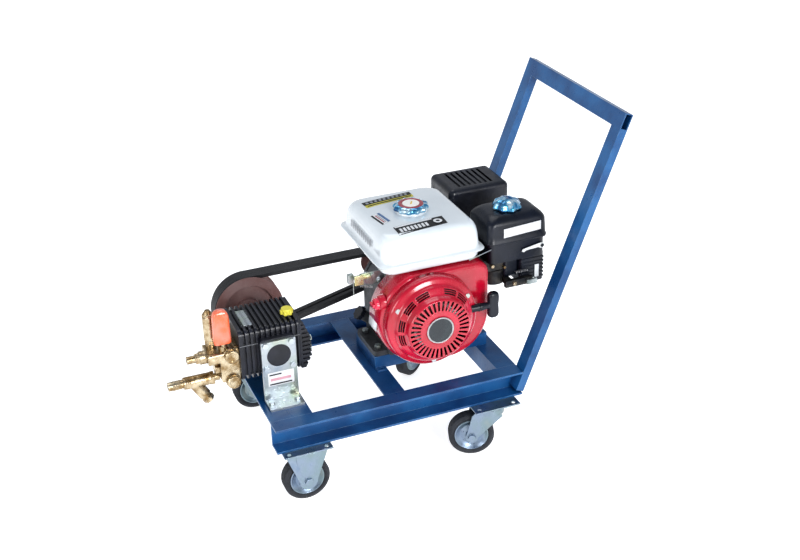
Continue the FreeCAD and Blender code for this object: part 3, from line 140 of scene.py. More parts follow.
def surface(name, colour, shade, roughness, metallic=0.0, mottle=25.0, grain=700.0, bump=0.15,
            depth=0.0003, edge=0.0, edge_colour=(0.6, 0.6, 0.6), edge_metal=0.0, radius=0.0008,
            coat=0.0, stretch=(1, 1, 1), spread=0.1, lumps=0.0, lump_scale=120.0):
    """The shared recipe: two mottled colours, uneven gloss, a fine grain, and lighter edges that are
    worn paint and, on the blue frame, a painted highlight as well.
    """
    s = Shader(name)
    patches = s.span(s.noise(mottle, 6.0, stretch), 0.38, 0.62)
    colour_now = s.mix(patches, rgb(*colour), rgb(*shade))
    fine = s.noise(grain, 3.0, stretch)
    mask, rounded = s.edge(radius)
    gloss = s.span(s.math("MULTIPLY", fine, s.noise(mottle * 2.3, 3.0)), 0.1, 0.42,
                   roughness - spread, roughness + spread)
    # Lighter edge colour: worn edges, and on the blue frame also a painted edge highlight.
    edge_wear_and_highlight = s.math("MULTIPLY", mask, s.span(s.noise(mottle * 4.0, 5.0), 0.35, 0.6))
    edge_wear_and_highlight = s.math("MULTIPLY", edge_wear_and_highlight, edge)
    colour_now = s.mix(edge_wear_and_highlight, colour_now, rgb(*edge_colour))
    metal_now = s.span(edge_wear_and_highlight, 0.0, 1.0, metallic, max(metallic, edge_metal))
    normal = s.bump(fine, bump, depth, rounded)
    if lumps:
        normal = s.bump(s.noise(lump_scale, 2.0), lumps, 0.002, normal)
    s.set(Base_Color=colour_now, Roughness=gloss, Metallic=metal_now, Normal=normal,
          Coat_Weight=coat, Coat_Roughness=0.08)
    return s.material


def blue_paint():
    # The lighter blue on the edges is worn paint and also a painted highlight along them.
    return surface("blue_frame_paint", (0.005, 0.062, 0.190), (0.012, 0.108, 0.285), 0.36,
                   mottle=14, grain=380, bump=0.4, depth=0.0006, edge=0.6,
                   edge_colour=(0.22, 0.40, 0.62), radius=0.0016, coat=0.1, lumps=0.12)


def red_enamel():
    return surface("red_enamel", (0.40, 0.002, 0.020), (0.52, 0.005, 0.036), 0.24, mottle=14,
                   grain=500, bump=0.05, edge=0.25, edge_colour=(0.75, 0.12, 0.17),
                   radius=0.0012, coat=0.7)


def white_enamel():
    return surface("white_enamel", (0.66, 0.71, 0.745), (0.72, 0.77, 0.80), 0.2, mottle=9,
                   grain=400, bump=0.03, edge=0.1, edge_colour=(0.9, 0.9, 0.9), radius=0.001,
                   coat=0.6, spread=0.05)


def black_enamel():
    return surface("black_enamel", (0.003, 0.004, 0.009), (0.008, 0.010, 0.020), 0.42,
                   mottle=30, grain=650, bump=0.35, depth=0.0005, edge=0.5,
                   edge_colour=(0.10, 0.11, 0.17), radius=0.0013, coat=0.15, lumps=0.08)


def black_plastic():
    return surface("black_plastic", (0.002, 0.004, 0.010), (0.005, 0.008, 0.018), 0.34,
                   mottle=22, grain=1300, bump=0.3, depth=0.0002, edge=0.35,
                   edge_colour=(0.07, 0.09, 0.13), radius=0.0015)


def cast_aluminium():
    # Painted shade: the aluminium is coloured dark grey, well below bare metal, to stand in for the
    # shadow over the crankcase.
    return surface("cast_aluminium", (0.15, 0.155, 0.16), (0.085, 0.09, 0.095), 0.5, 0.7,
                   mottle=26, grain=520, bump=0.55, depth=0.0006, edge=0.5,
                   edge_colour=(0.42, 0.42, 0.42), edge_metal=1.0, lumps=0.12)


def bare_steel():
    return surface("bare_steel", (0.50, 0.50, 0.50), (0.38, 0.38, 0.39), 0.32, 1.0, mottle=40,
                   grain=300, bump=0.2, stretch=(1, 14, 14), edge=0.3,
                   edge_colour=(0.75, 0.75, 0.75), edge_metal=1.0)


def zinc(name, tone=(1, 1, 1)):
    """Bright zinc with the faint blue, green and yellow tints of its passivation."""
    s = Shader(name)

    def toned(*colour):
        return rgb(*[share * value for share, value in zip(tone, colour)])

    tint = s.noise(22.0, 4.0, (1.0, 1.0, 0.6))
    ramp = s.add("ShaderNodeValToRGB", {"Fac": tint})
    stops = ramp.color_ramp
    stops.elements[0].position = 0.3
    stops.elements[0].color = toned(0.38, 0.45, 0.53)
    stops.elements[1].position = 0.72
    stops.elements[1].color = toned(0.58, 0.57, 0.47)
    for position, colour in ((0.43, (0.52, 0.56, 0.59)), (0.58, (0.47, 0.54, 0.49))):
        stops.elements.new(position).color = toned(*colour)
    spangle = s.add("ShaderNodeTexVoronoi", {"Vector": s.coords, "Scale": 160.0})
    mask, rounded = s.edge(0.0008)
    bright = s.mix(s.math("MULTIPLY", mask, 0.5), ramp.outputs[0], toned(0.85, 0.86, 0.86))
    gloss = s.span(spangle.outputs["Distance"], 0.0, 0.7, 0.24, 0.40)
    normal = s.bump(s.noise(500.0, 3.0), 0.15, 0.0003, rounded)
    s.set(Base_Color=bright, Metallic=0.9, Roughness=gloss, Normal=normal)
    return s.material


def brass():
    return surface("brass", (0.60, 0.51, 0.36), (0.27, 0.18, 0.085), 0.30, 0.95, mottle=52,
                   grain=480, bump=0.5, depth=0.0006, edge=0.7, edge_colour=(0.92, 0.87, 0.74),
                   edge_metal=1.0, radius=0.0012, lumps=0.16, lump_scale=160, spread=0.14)


def pulley_iron():
    return surface("pulley_iron", (0.17, 0.085, 0.078), (0.24, 0.16, 0.155), 0.5, 0.25,
                   mottle=16, grain=320, bump=0.5, depth=0.0006, edge=0.6,
                   edge_colour=(0.36, 0.22, 0.20), edge_metal=0.4, lumps=0.1)


def belt_rubber():
    """Rubberised fabric with fine crosswise moulding lines."""
    s = Shader("belt_rubber")
    weave = s.math("MULTIPLY", s.wave(420.0, "X"), s.wave(520.0, "Y"))
    colour = s.mix(s.noise(60.0), rgb(0.010, 0.010, 0.012), rgb(0.028, 0.028, 0.031))
    mask, rounded = s.edge(0.0008)
    colour = s.mix(s.math("MULTIPLY", mask, 0.4), colour, rgb(0.09, 0.09, 0.095))
    normal = s.bump(weave, 0.25, 0.0003, rounded)
    s.set(Base_Color=colour, Roughness=s.span(weave, 0, 1, 0.62, 0.48), Normal=normal)
    return s.material


def tyre_rubber():
    return surface("tyre_rubber", (0.010, 0.012, 0.018), (0.022, 0.025, 0.033), 0.6, mottle=30,
                   grain=800, bump=0.45, depth=0.0004, edge=0.3, edge_colour=(0.14, 0.15, 0.16),
                   radius=0.001, lumps=0.05)


def seal_rubber():
    return surface("seal_rubber", (0.02, 0.02, 0.02), (0.035, 0.035, 0.035), 0.55, grain=900)


def plain_plastic(name, colour, shade, roughness, coat=0.0):
    return surface(name, colour, shade, roughness, mottle=30, grain=1100, bump=0.1, edge=0.3,
                   edge_colour=tuple(min(1.0, 1.35 * value + 0.04) for value in colour),
                   radius=0.001, coat=coat)


def cap_metal():
    """The glossy blue lacquer of the cap and the knob, cloudy with silver patches."""
    s = Shader("blue_lacquer")
    cloud = s.noise(55.0, 3.0)
    ramp = s.add("ShaderNodeValToRGB", {"Fac": cloud})
    stops = ramp.color_ramp
    stops.elements[0].position = 0.36
    stops.elements[0].color = rgb(0.02, 0.10, 0.26)
    stops.elements[1].position = 0.64
    stops.elements[1].color = rgb(0.62, 0.78, 0.86)
    stops.elements.new(0.5).color = rgb(0.05, 0.32, 0.55)
    mask, rounded = s.edge(0.0012)
    colour = s.mix(s.math("MULTIPLY", mask, 0.5), ramp.outputs[0], rgb(0.5, 0.75, 0.9))
    s.set(Base_Color=colour, Metallic=0.75, Roughness=s.span(cloud, 0.3, 0.7, 0.12, 0.3),
          Normal=s.bump(s.noise(90.0), 0.1, 0.001, rounded), Coat_Weight=0.8,
          Coat_Roughness=0.05)
    return s.material


def rope_cord():
    s = Shader("rope_cord")
    braid = s.wave(500.0, "DIAGONAL", 1.0)
    colour = s.mix(braid, rgb(0.55, 0.54, 0.50), rgb(0.74, 0.73, 0.69))
    s.set(Base_Color=colour, Roughness=0.8, Normal=s.bump(braid, 0.6, 0.0004))
    return s.material


def open_foam():
    s = Shader("open_foam")
    cells = s.add("ShaderNodeTexVoronoi", {"Vector": s.coords, "Scale": 700.0})
    height = cells.outputs["Distance"]
    colour = s.mix(height, rgb(0.01, 0.01, 0.01), rgb(0.07, 0.07, 0.075))
    s.set(Base_Color=colour, Roughness=0.95, Normal=s.bump(height, 0.9, 0.001))
    return s.material


def label_material(name, paper, ink, axis, scale, share, roughness=0.35):
    """A printed label with plain bars and no lettering."""
    s = Shader(name)
    bars = s.span(s.wave(scale, axis), share, share + 0.04)
    speck = s.noise(900.0, 2.0)
    paper_now = s.mix(speck, rgb(*paper), rgb(*[0.9 * value for value in paper]))
    colour = s.mix(bars, paper_now, rgb(*ink))
    s.set(Base_Color=colour, Roughness=roughness, Normal=s.bump(speck, 0.05, 0.0002))
    return s.material


MATERIALS = {
    "blue_frame_paint": blue_paint(),
    "caster_zinc": zinc("caster_zinc", (0.48, 0.55, 0.66)),
    "grey_rubber": tyre_rubber(),
    "cast_aluminium": cast_aluminium(),
    "bare_steel": bare_steel(),
    "red_enamel": red_enamel(),
    "black_plastic": black_plastic(),
    "red_plastic": plain_plastic("red_plastic", (0.62, 0.02, 0.06), (0.7, 0.03, 0.08), 0.25, 0.5),
    "rope_cord": rope_cord(),
    "black_steel_sheet": black_enamel(),
    "dark_foam": open_foam(),
    "cap_plastic": cap_metal(),
    "zinc_plate": zinc("zinc_plate", (0.88, 0.88, 0.88)),
    "zinc_bolts": zinc("zinc_bolts"),
    "die_cast_zinc": surface("die_cast_zinc", (0.025, 0.026, 0.03), (0.07, 0.066, 0.06), 0.5, 0.6,
                             mottle=60, bump=0.4, edge=0.5, edge_colour=(0.22, 0.21, 0.19),
                             edge_metal=1.0),
    "white_enamel": white_enamel(),
    "pulley_iron": pulley_iron(),
    "belt_rubber": belt_rubber(),
    "brass": brass(),
    "plunger_ceramic": plain_plastic("plunger_ceramic", (0.8, 0.78, 0.74), (0.86, 0.84, 0.8), 0.12),
    "seal_rubber": seal_rubber(),
    "orange_plastic": plain_plastic("orange_plastic", (0.82, 0.13, 0.03), (0.80, 0.22, 0.15), 0.25,
                                    0.6),
    "yellow_plastic": plain_plastic("yellow_plastic", (0.74, 0.66, 0.06), (0.8, 0.74, 0.12), 0.3,
                                    0.3),
}

for part in frame["record"]["subparts"]:
    cad = frame["nodes"][part["node"]]
    for index in range(len(cad.material_slots)):
        cad.material_slots[index].material = MATERIALS[part["material_slot"]]


# ------------------------------------------------------------- building forms

class Form:
    """Vertices and faces of one piece, in millimetres of the object's frame."""

    def __init__(self):
        self.verts = []
        self.faces = []

    def add(self, verts, faces):
        start = len(self.verts)
        self.verts += [Vector(v) for v in verts]
        self.faces += [[start + index for index in face] for face in faces]

    def loft(self, rings, low_cap=True, high_cap=True):
        """A skin over closed rings that all have the same number of points."""
        count = len(rings[0])
        faces = []
        for row in range(len(rings) - 1):
            for k in range(count):
                a = row * count + k
                b = row * count + (k + 1) % count
                faces.append([a, b, b + count, a + count])
        if low_cap:
            faces.append(list(range(count))[::-1])
        if high_cap:
            faces.append([(len(rings) - 1) * count + k for k in range(count)])
        self.add([v for ring in rings for v in ring], faces)

    def lathe(self, points, centre, axis, steps=64, wobble=None):
        """Points (radius, height) turned about an axis through centre. Closed from last to first."""
        turn = Vector(axis).normalized().to_track_quat("Z", "Y")
        verts = []
        for k in range(steps):
            angle = 2 * math.pi * k / steps
            for radius, height in points:
                r = radius * (wobble(angle) if wobble else 1.0)
                local = Vector((r * math.cos(angle), r * math.sin(angle), height))
                verts.append(Vector(centre) + turn @ local)
        count = len(points)
        faces = []
        for k in range(steps):
            for j in range(count):
                a = k * count + j
                b = k * count + (j + 1) % count
                c = ((k + 1) % steps) * count + (j + 1) % count
                d = ((k + 1) % steps) * count + j
                faces.append([a, d, c, b])
        self.add(verts, faces)

    def prism(self, outline, rise):
        """A flat outline of 3-D points pushed along a vector."""
        base = [Vector(point) for point in outline]
        self.loft([base, [point + Vector(rise) for point in base]])

    def block(self, x, y, z):
        base = [(x[0], y[0], z[0]), (x[1], y[0], z[0]), (x[1], y[1], z[0]), (x[0], y[1], z[0])]
        self.prism(base, (0, 0, z[1] - z[0]))

    def rod(self, start, end, radius, steps=20):
        axis = Vector(end) - Vector(start)
        self.lathe([(0.001, 0), (radius, 0), (radius, axis.length), (0.001, axis.length)],
                   start, axis, steps)

    def hexagon(self, start, axis, across, height):
        """A bolt head with its rounded washer face."""
        direction = Vector(axis).normalized()
        turn = direction.to_track_quat("Z", "Y")
        radius = across / math.sqrt(3)
        rings = []
        for rise, scale in ((0, 1.0), (0.78 * height, 1.0), (height, 0.86)):
            ring = []
            for k in range(6):
                angle = math.pi * k / 3
                local = Vector((scale * radius * math.cos(angle), scale * radius * math.sin(angle),
                                rise))
                ring.append(Vector(start) + turn @ local)
            rings.append(ring)
        self.loft(rings)

    def pipe(self, path, radius, steps=12):
        """A round tube swept along a path of points."""
        points = [Vector(point) for point in path]
        rings = []
        side = None
        for index, point in enumerate(points):
            ahead = points[min(index + 1, len(points) - 1)] - points[max(index - 1, 0)]
            ahead.normalize()
            if side is None:
                side = ahead.orthogonal().normalized()
            side = (side - ahead * side.dot(ahead)).normalized()
            up = ahead.cross(side)
            rings.append([
                point + radius * (math.cos(a) * side + math.sin(a) * up)
                for a in [2 * math.pi * k / steps for k in range(steps)]
            ])
        self.loft(rings)


def piece(form, name, body, slot, bevel=0.0, material=None, replaces=(), sharp=35, segments=2,
          levels=0, thickness=0.0):
    """Makes the form a finished object that rides on a body."""
    mesh = bpy.data.meshes.new(name)
    mesh.from_pydata([v * MM for v in form.verts], [], form.faces)
    work = bmesh.new()
    work.from_mesh(mesh)
    bmesh.ops.remove_doubles(work, verts=work.verts, dist=1e-6)
    bmesh.ops.recalc_face_normals(work, faces=work.faces)
    work.to_mesh(mesh)
    work.free()
    mesh.polygons.foreach_set("use_smooth", [True] * len(mesh.polygons))
    mesh.set_sharp_from_angle(angle=math.radians(sharp))
    obj = bpy.data.objects.new(name, mesh)
    bpy.context.collection.objects.link(obj)
    mesh.materials.append(material or MATERIALS[slot])
    if thickness:
        solid = obj.modifiers.new("Sheet", "SOLIDIFY")
        solid.thickness = thickness * MM
        solid.offset = -1
    if bevel:
        soft = obj.modifiers.new("Edges", "BEVEL")
        soft.width = bevel * MM
        soft.segments = segments
        soft.limit_method = "ANGLE"
        soft.angle_limit = math.radians(30)
        soft.harden_normals = True
    if levels:
        smooth = obj.modifiers.new("Smooth", "SUBSURF")
        smooth.levels = levels
        smooth.render_levels = levels
    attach(obj, body)
    if replaces:
        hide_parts(*replaces)
    return obj


def rounded_loop(x, y, z, corner, count=8):
    """A rectangle with rounded corners at height z, as a closed ring of points."""
    points = []
    corners = (
        (x[1] - corner, y[1] - corner, 0), (x[0] + corner, y[1] - corner, 90),
        (x[0] + corner, y[0] + corner, 180), (x[1] - corner, y[0] + corner, 270),
    )
    for centre_x, centre_y, start in corners:
        for k in range(count + 1):
            angle = math.radians(start + 90 * k / count)
            points.append(Vector((centre_x + corner * math.cos(angle),
                                  centre_y + corner * math.sin(angle), z)))
    return points


def lobes(count, depth, power=1.0):
    """A radius factor that swells and shrinks round the circle."""
    def factor(angle):
        return 1.0 - depth * (0.5 - 0.5 * math.cos(count * angle)) ** power
    return factor


# ------------------------------------------------------------------- wheels

def make_wheel(body, centre, axis):
    """A ribbed rubber tyre on a pressed disc with a hub tube."""
    tyre = Form()
    half = 15
    tread = []
    for k in range(9):
        across = -10 + 2.5 * k
        tread += [(49.9, across - 0.9), (49.1, across - 0.45), (49.1, across + 0.45),
                  (49.9, across + 0.9)]
    profile = [(37.2, -half + 3), (38.6, -half + 1.3), (39.6, -half + 1.0), (39.9, -half + 1.5),
               (40.5, -half + 0.8), (43.2, -half + 0.2), (43.5, -half + 0.8), (44.1, -half + 0.4),
               (46.5, -half + 1.6), (49, -half + 3.4)]
    profile += tread
    profile += [(r, -h) for r, h in profile[9::-1]]
    tyre.lathe(profile, centre, axis, 96)
    piece(tyre, f"{body}_tyre", body, "grey_rubber", replaces=(body,), sharp=40)
    disc = Form()
    disc.lathe(
        [(5.1, -20), (9, -20), (12.5, -19), (12.5, -9.5), (15, -8), (24, -6.5), (29, -8.5),
         (33, -12.5), (35, -14.2), (37, -13.4), (37.2, -11), (37.2, 11), (37, 13.4), (35, 14.2),
         (33, 12.5), (29, 8.5), (24, 6.5), (15, 8), (12.5, 9.5), (12.5, 19), (9, 20), (5.1, 20)],
        centre, axis, 64,
    )
    turn = Vector(axis).normalized().to_track_quat("Z", "Y")
    for side in (-1, 1):
        for k in range(6):
            angle = math.pi * k / 3 + 0.3
            local = Vector((19.5 * math.cos(angle), 19.5 * math.sin(angle), side * 6.6))
            start = Vector(centre) + turn @ local
            disc.lathe([(0.01, -0.5), (2.6, -0.5), (2.6, 0.9), (1.6, 1.7), (0.01, 1.9)], start,
                       turn @ Vector((0, 0, side)), 14)
    piece(disc, f"{body}_disc", body, "caster_zinc", bevel=0.3)


def make_wheels():
    """Two fixed wheels on the left, and two swivelled ones on the right."""
    make_wheel("near_left_wheel", (RIGID_CASTER_X, -190, WHEEL_RADIUS), (0, 1, 0))
    make_wheel("far_left_wheel", (RIGID_CASTER_X, 190, WHEEL_RADIUS), (0, 1, 0))
    for body, y, degrees in (("near_right_wheel", -200, 20), ("far_right_wheel", 200, -37)):
        angle = math.radians(degrees)
        centre = (SWIVEL_CASTER_X - SWIVEL_TRAIL * math.cos(angle),
                  y + SWIVEL_TRAIL * math.sin(angle), WHEEL_RADIUS)
        make_wheel(body, centre, (math.sin(angle), math.cos(angle), 0))


make_wheels()


def make_fork_panels():
    """Pressed panels on the outer cheeks of the two rigid forks."""
    panel = ((-25, 118), (25, 118), (24, 103), (13, 66), (6, 58), (-6, 58), (-13, 66), (-24, 103))
    form = Form()
    for y, side in ((-214, -1), (214, 1)):
        outline = [(RIGID_CASTER_X + x, y, z) for x, z in panel]
        form.prism(outline, (0, 1.1 * side, 0))
    piece(form, "fork_panels", "chassis", "caster_zinc", bevel=1.0, segments=3)


make_fork_panels()


# --------------------------------------------------------------------- tank

TANK_X = (-15, 225)
TANK_Y = (-140, 118)
TANK_SEAM = 460
TANK_TOP = 526


def tank_ring(inset_left, inset_right, inset_near, inset_far, z, corner):
    """The tank's outline at height z, drawn in by an inset on each side."""
    return rounded_loop((TANK_X[0] + inset_left, TANK_X[1] - inset_right),
                        (TANK_Y[0] + inset_near, TANK_Y[1] - inset_far), z, corner, 10)


def make_tank():
    """Crowned upper shell, rolled seam lip and shallow lower shell, with a filler collar."""
    form = Form()
    rings = [tank_ring(30, 30, 24, 30, TANK_SEAM - 21.9, 18),
             tank_ring(18, 18, 14, 18, TANK_SEAM - 21, 22),
             tank_ring(12, 12, 9.5, 12, TANK_SEAM - 17.5, 25),
             tank_ring(9.5, 9.5, 7.4, 9.5, TANK_SEAM - 11, 26),
             tank_ring(8.2, 8.2, 7.0, 8.2, TANK_SEAM - 3.4, 26),
             tank_ring(6.5, 6.5, 5.6, 6.5, TANK_SEAM - 1.2, 25),
             tank_ring(1.2, 1.2, 1.2, 1.2, TANK_SEAM, 22),
             tank_ring(0.1, 0.1, 0.1, 0.1, TANK_SEAM + 1.4, 22),
             tank_ring(1.0, 1.0, 1.0, 1.0, TANK_SEAM + 3.4, 22),
             tank_ring(5.5, 5.5, 4.5, 5.5, TANK_SEAM + 4.6, 24),
             tank_ring(9.0, 9.0, 6.0, 9.3, TANK_SEAM + 8, 26)]
    rise = TANK_TOP - 2 - (TANK_SEAM + 8)
    for k in range(1, 13):
        t = k / 12
        lift = math.sin(t * math.pi / 2) ** 0.75
        lean = 1 - math.cos(t * math.pi / 2)
        draft = 3.5 * lift
        rings.append(tank_ring(9.0 + draft + 22 * lean ** 1.8, 9.0 + draft + 28 * lean ** 1.8,
                               6.0 + draft + 22 * lean ** 1.8, 9.3 + draft + 32 * lean ** 1.8,
                               TANK_SEAM + 8 + rise * lift, 26 + 10 * lean))
    rings.append(tank_ring(52, 62, 52, 66, TANK_TOP - 0.6, 36))
    rings.append(tank_ring(85, 95, 90, 100, TANK_TOP + 0.2, 20))
    form.loft(rings)
    form.lathe([(27.2, -6), (34, -6), (34, 3), (32, 5), (29, 5.6), (27.2, 5)], (*FILLER, TANK_TOP),
               (0, 0, 1), 64)
    return piece(form, "tank_shell", "chassis", "white_enamel", replaces=("fuel_tank",), sharp=50)


def flat_colour(name, colour, roughness=0.5):
    """A plain plastic whose shade is a little darker than its colour."""
    return plain_plastic(name, colour, tuple(0.85 * value for value in colour), roughness)


LABEL_BLACK = flat_colour("label_black", (0.002, 0.002, 0.004))
LABEL_WHITE = flat_colour("label_white", (0.78, 0.80, 0.82))
LABEL_YELLOW = flat_colour("label_yellow", (0.62, 0.56, 0.06))
LABEL_BLUE = flat_colour("label_blue", (0.10, 0.19, 0.36))
LABEL_GREY = flat_colour("label_grey", (0.34, 0.36, 0.39))
LABEL_RED = flat_colour("label_red", (0.46, 0.06, 0.07))


def tank_label(tank, name, corners, strips):
    """Plain coloured strips laid on the tank. Corners: far left, far right, near right, near left."""
    far_left, far_right, near_right, near_left = [Vector((x, y, 0)) for x, y in corners]
    for index, (across, along, lift, material) in enumerate(strips):
        form = Form()
        rings = []
        for row in range(5):
            v = along[0] + (along[1] - along[0]) * row / 4
            ring = []
            for column in range(17):
                u = across[0] + (across[1] - across[0]) * column / 16
                far = far_left.lerp(far_right, u)
                near = near_left.lerp(near_right, u)
                spot = near.lerp(far, v)
                ring.append((spot.x, spot.y, TANK_TOP + 20))
            rings.append(ring)
        faces = []
        for row in range(4):
            for column in range(16):
                a = 17 * row + column
                faces.append([a, a + 1, a + 18, a + 17])
        form.add([point for ring in rings for point in ring], faces)
        strip = piece(form, f"{name}_{index}", "chassis", "white_enamel", material=material)
        wrap = strip.modifiers.new("Lay", "SHRINKWRAP")
        wrap.target = tank
        wrap.wrap_method = "PROJECT"
        wrap.use_project_z = True
        wrap.use_negative_direction = True
        wrap.use_positive_direction = False
        wrap.offset = lift * MM
        wrap.wrap_mode = "ABOVE_SURFACE"


def make_tank_labels(tank):
    """Three labels on the crown and a row of dashes on the left slope, all without lettering."""
    whole = (0, 1)
    bars = [((0.06 + 0.09 * k, 0.11 + 0.09 * k), (0.56, 0.86), 0.55, LABEL_GREY) for k in range(10)]
    tank_label(tank, "caution_label", ((21, 60), (137, 74), (136, 44), (23, 30)),
               [(whole, (0.42, 1), 0.3, LABEL_BLACK), (whole, (0, 0.42), 0.3, LABEL_YELLOW),
                ((0.04, 0.96), (0.14, 0.28), 0.55, LABEL_BLACK)] + bars)
    tank_label(tank, "small_label", ((15, -11), (36, -5), (43, -52), (22, -62)),
               [(whole, whole, 0.3, LABEL_WHITE), ((0, 0.2), whole, 0.55, LABEL_BLACK),
                ((0.72, 1), whole, 0.55, LABEL_BLUE), ((0.34, 0.44), (0.1, 0.9), 0.55, LABEL_RED),
                ((0.52, 0.62), (0.1, 0.9), 0.55, LABEL_GREY)])
    marks = [((0.07 + 0.075 * k, 0.12 + 0.075 * k), (0.22, 0.66), 0.55, LABEL_WHITE)
             for k in range(8)]
    tank_label(tank, "strip_label", ((36, -84), (149, -74), (148, -108), (36, -119)),
               [(whole, whole, 0.3, LABEL_BLACK), ((0.02, 0.78), (0.84, 0.98), 0.55, LABEL_WHITE)]
               + marks)
    dashes = [(whole, (0.1 * k, 0.1 * k + 0.055), 3.0, LABEL_GREY) for k in range(10)]
    tank_label(tank, "side_marks", ((-5.2, 56), (-3.9, 56), (-3.9, -66), (-5.2, -66)), dashes)
    plate = Form()
    plate.lathe([(4.2, 0), (9.5, 0), (9.5, 0.4), (4.2, 0.4)], (132, -93, TANK_TOP + 0.1),
                (0, 0, 1), 40)
    piece(plate, "strip_label_ring", "chassis", "white_enamel", material=LABEL_WHITE)


def make_fuel_cap():
    """Scalloped blue cap with a pale disc in a dark red ring."""
    centre = (*FILLER, TANK_TOP + 6)
    body = Form()
    body.lathe([(27, -2), (37, -1.6), (39, 1.0), (38.6, 4.6), (35, 8.4), (30.5, 9.8), (27.5, 10),
                (27, 8)], centre, (0, 0, 1), 160, lobes(12, 0.11, 0.6))
    body.lathe([(0.01, -2), (27.3, -2), (27.3, 8.6), (0.01, 8.6)], centre, (0, 0, 1), 48)
    piece(body, "fuel_cap_body", "fuel_cap", "cap_plastic", replaces=("fuel_cap",), sharp=45)
    ring = Form()
    ring.lathe([(18.2, 8.3), (27, 8.3), (26.6, 10.1), (25.5, 10.5), (19, 10.5), (18.2, 10.1)],
               centre, (0, 0, 1), 64)
    piece(ring, "fuel_cap_ring", "fuel_cap", "cap_plastic",
          material=plain_plastic("cap_ring", (0.30, 0.03, 0.05), (0.36, 0.05, 0.07), 0.3, 0.4))
    disc = Form()
    disc.lathe([(0.01, 8.4), (18.1, 8.4), (18.1, 10.4), (17.4, 10.9), (0.01, 10.9)], centre,
               (0, 0, 1), 64)
    piece(disc, "fuel_cap_disc", "fuel_cap", "cap_plastic",
          material=plain_plastic("cap_disc", (0.86, 0.84, 0.80), (0.9, 0.88, 0.84), 0.4))
    mark = Form()
    mark.prism([(98, -27, 542.7), (101, -28, 542.7), (108, -15.5, 542.7), (105.5, -14, 542.7)],
               (0, 0, 0.5))
    piece(mark, "fuel_cap_mark", "fuel_cap", "cap_plastic",
          material=plain_plastic("cap_mark", (0.75, 0.5, 0.08), (0.8, 0.56, 0.1), 0.4))


make_tank_labels(make_tank())
make_fuel_cap()


# ------------------------------------------------------------------ starter

def disc_sheet(form, rings, centre, steps, is_open):
    """A disc of rings (radius, height towards -Y) with some of its cells left out as slots."""
    start = len(form.verts)
    for radius, forward in rings:
        for k in range(steps):
            angle = 2 * math.pi * k / steps
            form.verts.append(Vector((centre[0] + radius * math.cos(angle), -forward,
                                      centre[1] + radius * math.sin(angle))))
    for row in range(len(rings) - 1):
        for k in range(steps):
            if is_open(row, k):
                continue
            a = start + row * steps + k
            b = start + row * steps + (k + 1) % steps
            form.faces.append([a, b, b + steps, a + steps])


def make_recoil_case():
    """The starter housing: radial slots in the dome and arc slots in the rim round it."""
    rings = [(27, 203), (36, 203), (42, 202.7), (44, 202.5), (65.5, 202), (66.5, 201.6),
             (68, 200.2), (69.5, 197), (70.5, 191.5), (71.3, 188), (72.2, 186), (73.5, 184.9),
             (76, 183.2), (77.3, 182.4), (79.8, 180.6), (81, 179.8), (83.4, 178), (84.6, 177),
             (86.5, 171.5), (88, 168.4), (90, 167), (96, 165.4), (99.5, 163), (101.4, 159),
             (102, 153), (102, 140)]
    steps = 288
    form = Form()

    def is_open(row, k):
        degrees = 360 * k / steps
        if row == 3:
            return k % 8 in (0, 1, 2, 3)
        if row in (11, 13, 15):
            groups = ((30, 51), (55, 76), (101, 122), (127, 148), (160, 178), (183, 203))
            return any(low <= degrees < high for low, high in groups)
        return False

    disc_sheet(form, rings, ENGINE, steps, is_open)
    piece(form, "recoil_housing", "chassis", "red_enamel", replaces=("recoil_case",), sharp=32,
          thickness=1.6)
    screen = Form()
    screen.lathe([(62, 0), (99, 0), (99, 1), (62, 1)], (ENGINE[0], -150, ENGINE[1]), (0, -1, 0), 96)
    piece(screen, "starter_screen", "chassis", "black_steel_sheet")
    guide = Form()
    guide.lathe([(2.8, 0), (6.5, 0), (8, 1.2), (8, 30), (9, 32), (9, 34.6), (2.8, 34.6)],
                (ENGINE[0] + 70, ROPE_Y, ROPE_Z), (1, 0, 0), 32)
    piece(guide, "rope_guide", "chassis", "black_plastic", bevel=0.4)


def make_grip():
    """Swelling grip bar on its neck, with a shallow finger groove round the middle."""
    x = ENGINE[0] + 137
    bar = Form()
    rings = []
    for rise, wide, deep in ((-29, 5, 4), (-28.4, 8, 6.4), (-26, 11, 8), (-20, 12.6, 8.9),
                             (-10, 12.4, 9), (-3, 11.6, 8.6), (3, 11.6, 8.6), (10, 12.4, 9),
                             (20, 12.6, 8.9), (26, 11, 8), (28.4, 8, 6.4), (29, 5, 4)):
        rings.append(rounded_loop((x - wide, x + wide), (ROPE_Y - deep, ROPE_Y + deep),
                                  ROPE_Z + rise, 0.85 * deep, 6))
    bar.loft(rings)
    bar.lathe([(2.3, 0), (8.3, 0), (8.6, 1), (8.2, 6), (7, 20), (7.4, 26), (2.3, 26)],
              (ENGINE[0] + 105.2, ROPE_Y, ROPE_Z), (1, 0, 0), 40)
    piece(bar, "grip_body", "starter_grip", "black_plastic", replaces=("starter_grip",), sharp=50)


def make_badge():
    """Plain dark centre plate in a bright ring."""
    centre = (ENGINE[0], -203, ENGINE[1])
    ring = Form()
    ring.lathe([(26.4, -0.5), (30, -0.5), (30, 1.4), (29.2, 2.1), (27.2, 2.1), (26.4, 1.4)], centre,
               (0, -1, 0), 72)
    piece(ring, "badge_ring", "chassis", "red_enamel", material=MATERIALS["bare_steel"])
    plate = Form()
    plate.lathe([(0.01, -0.4), (26.4, -0.4), (26.4, 1.2), (20, 1.5), (0.01, 1.6)], centre,
                (0, -1, 0), 72)
    piece(plate, "badge_plate", "chassis", "red_enamel",
          material=plain_plastic("badge_dark", (0.012, 0.018, 0.024), (0.02, 0.03, 0.036), 0.3, 0.3))


make_recoil_case()
make_grip()
make_badge()


# -------------------------------------------------------------- air cleaner

LID_X = (233, 376)
LID_Y = (-125, -15)


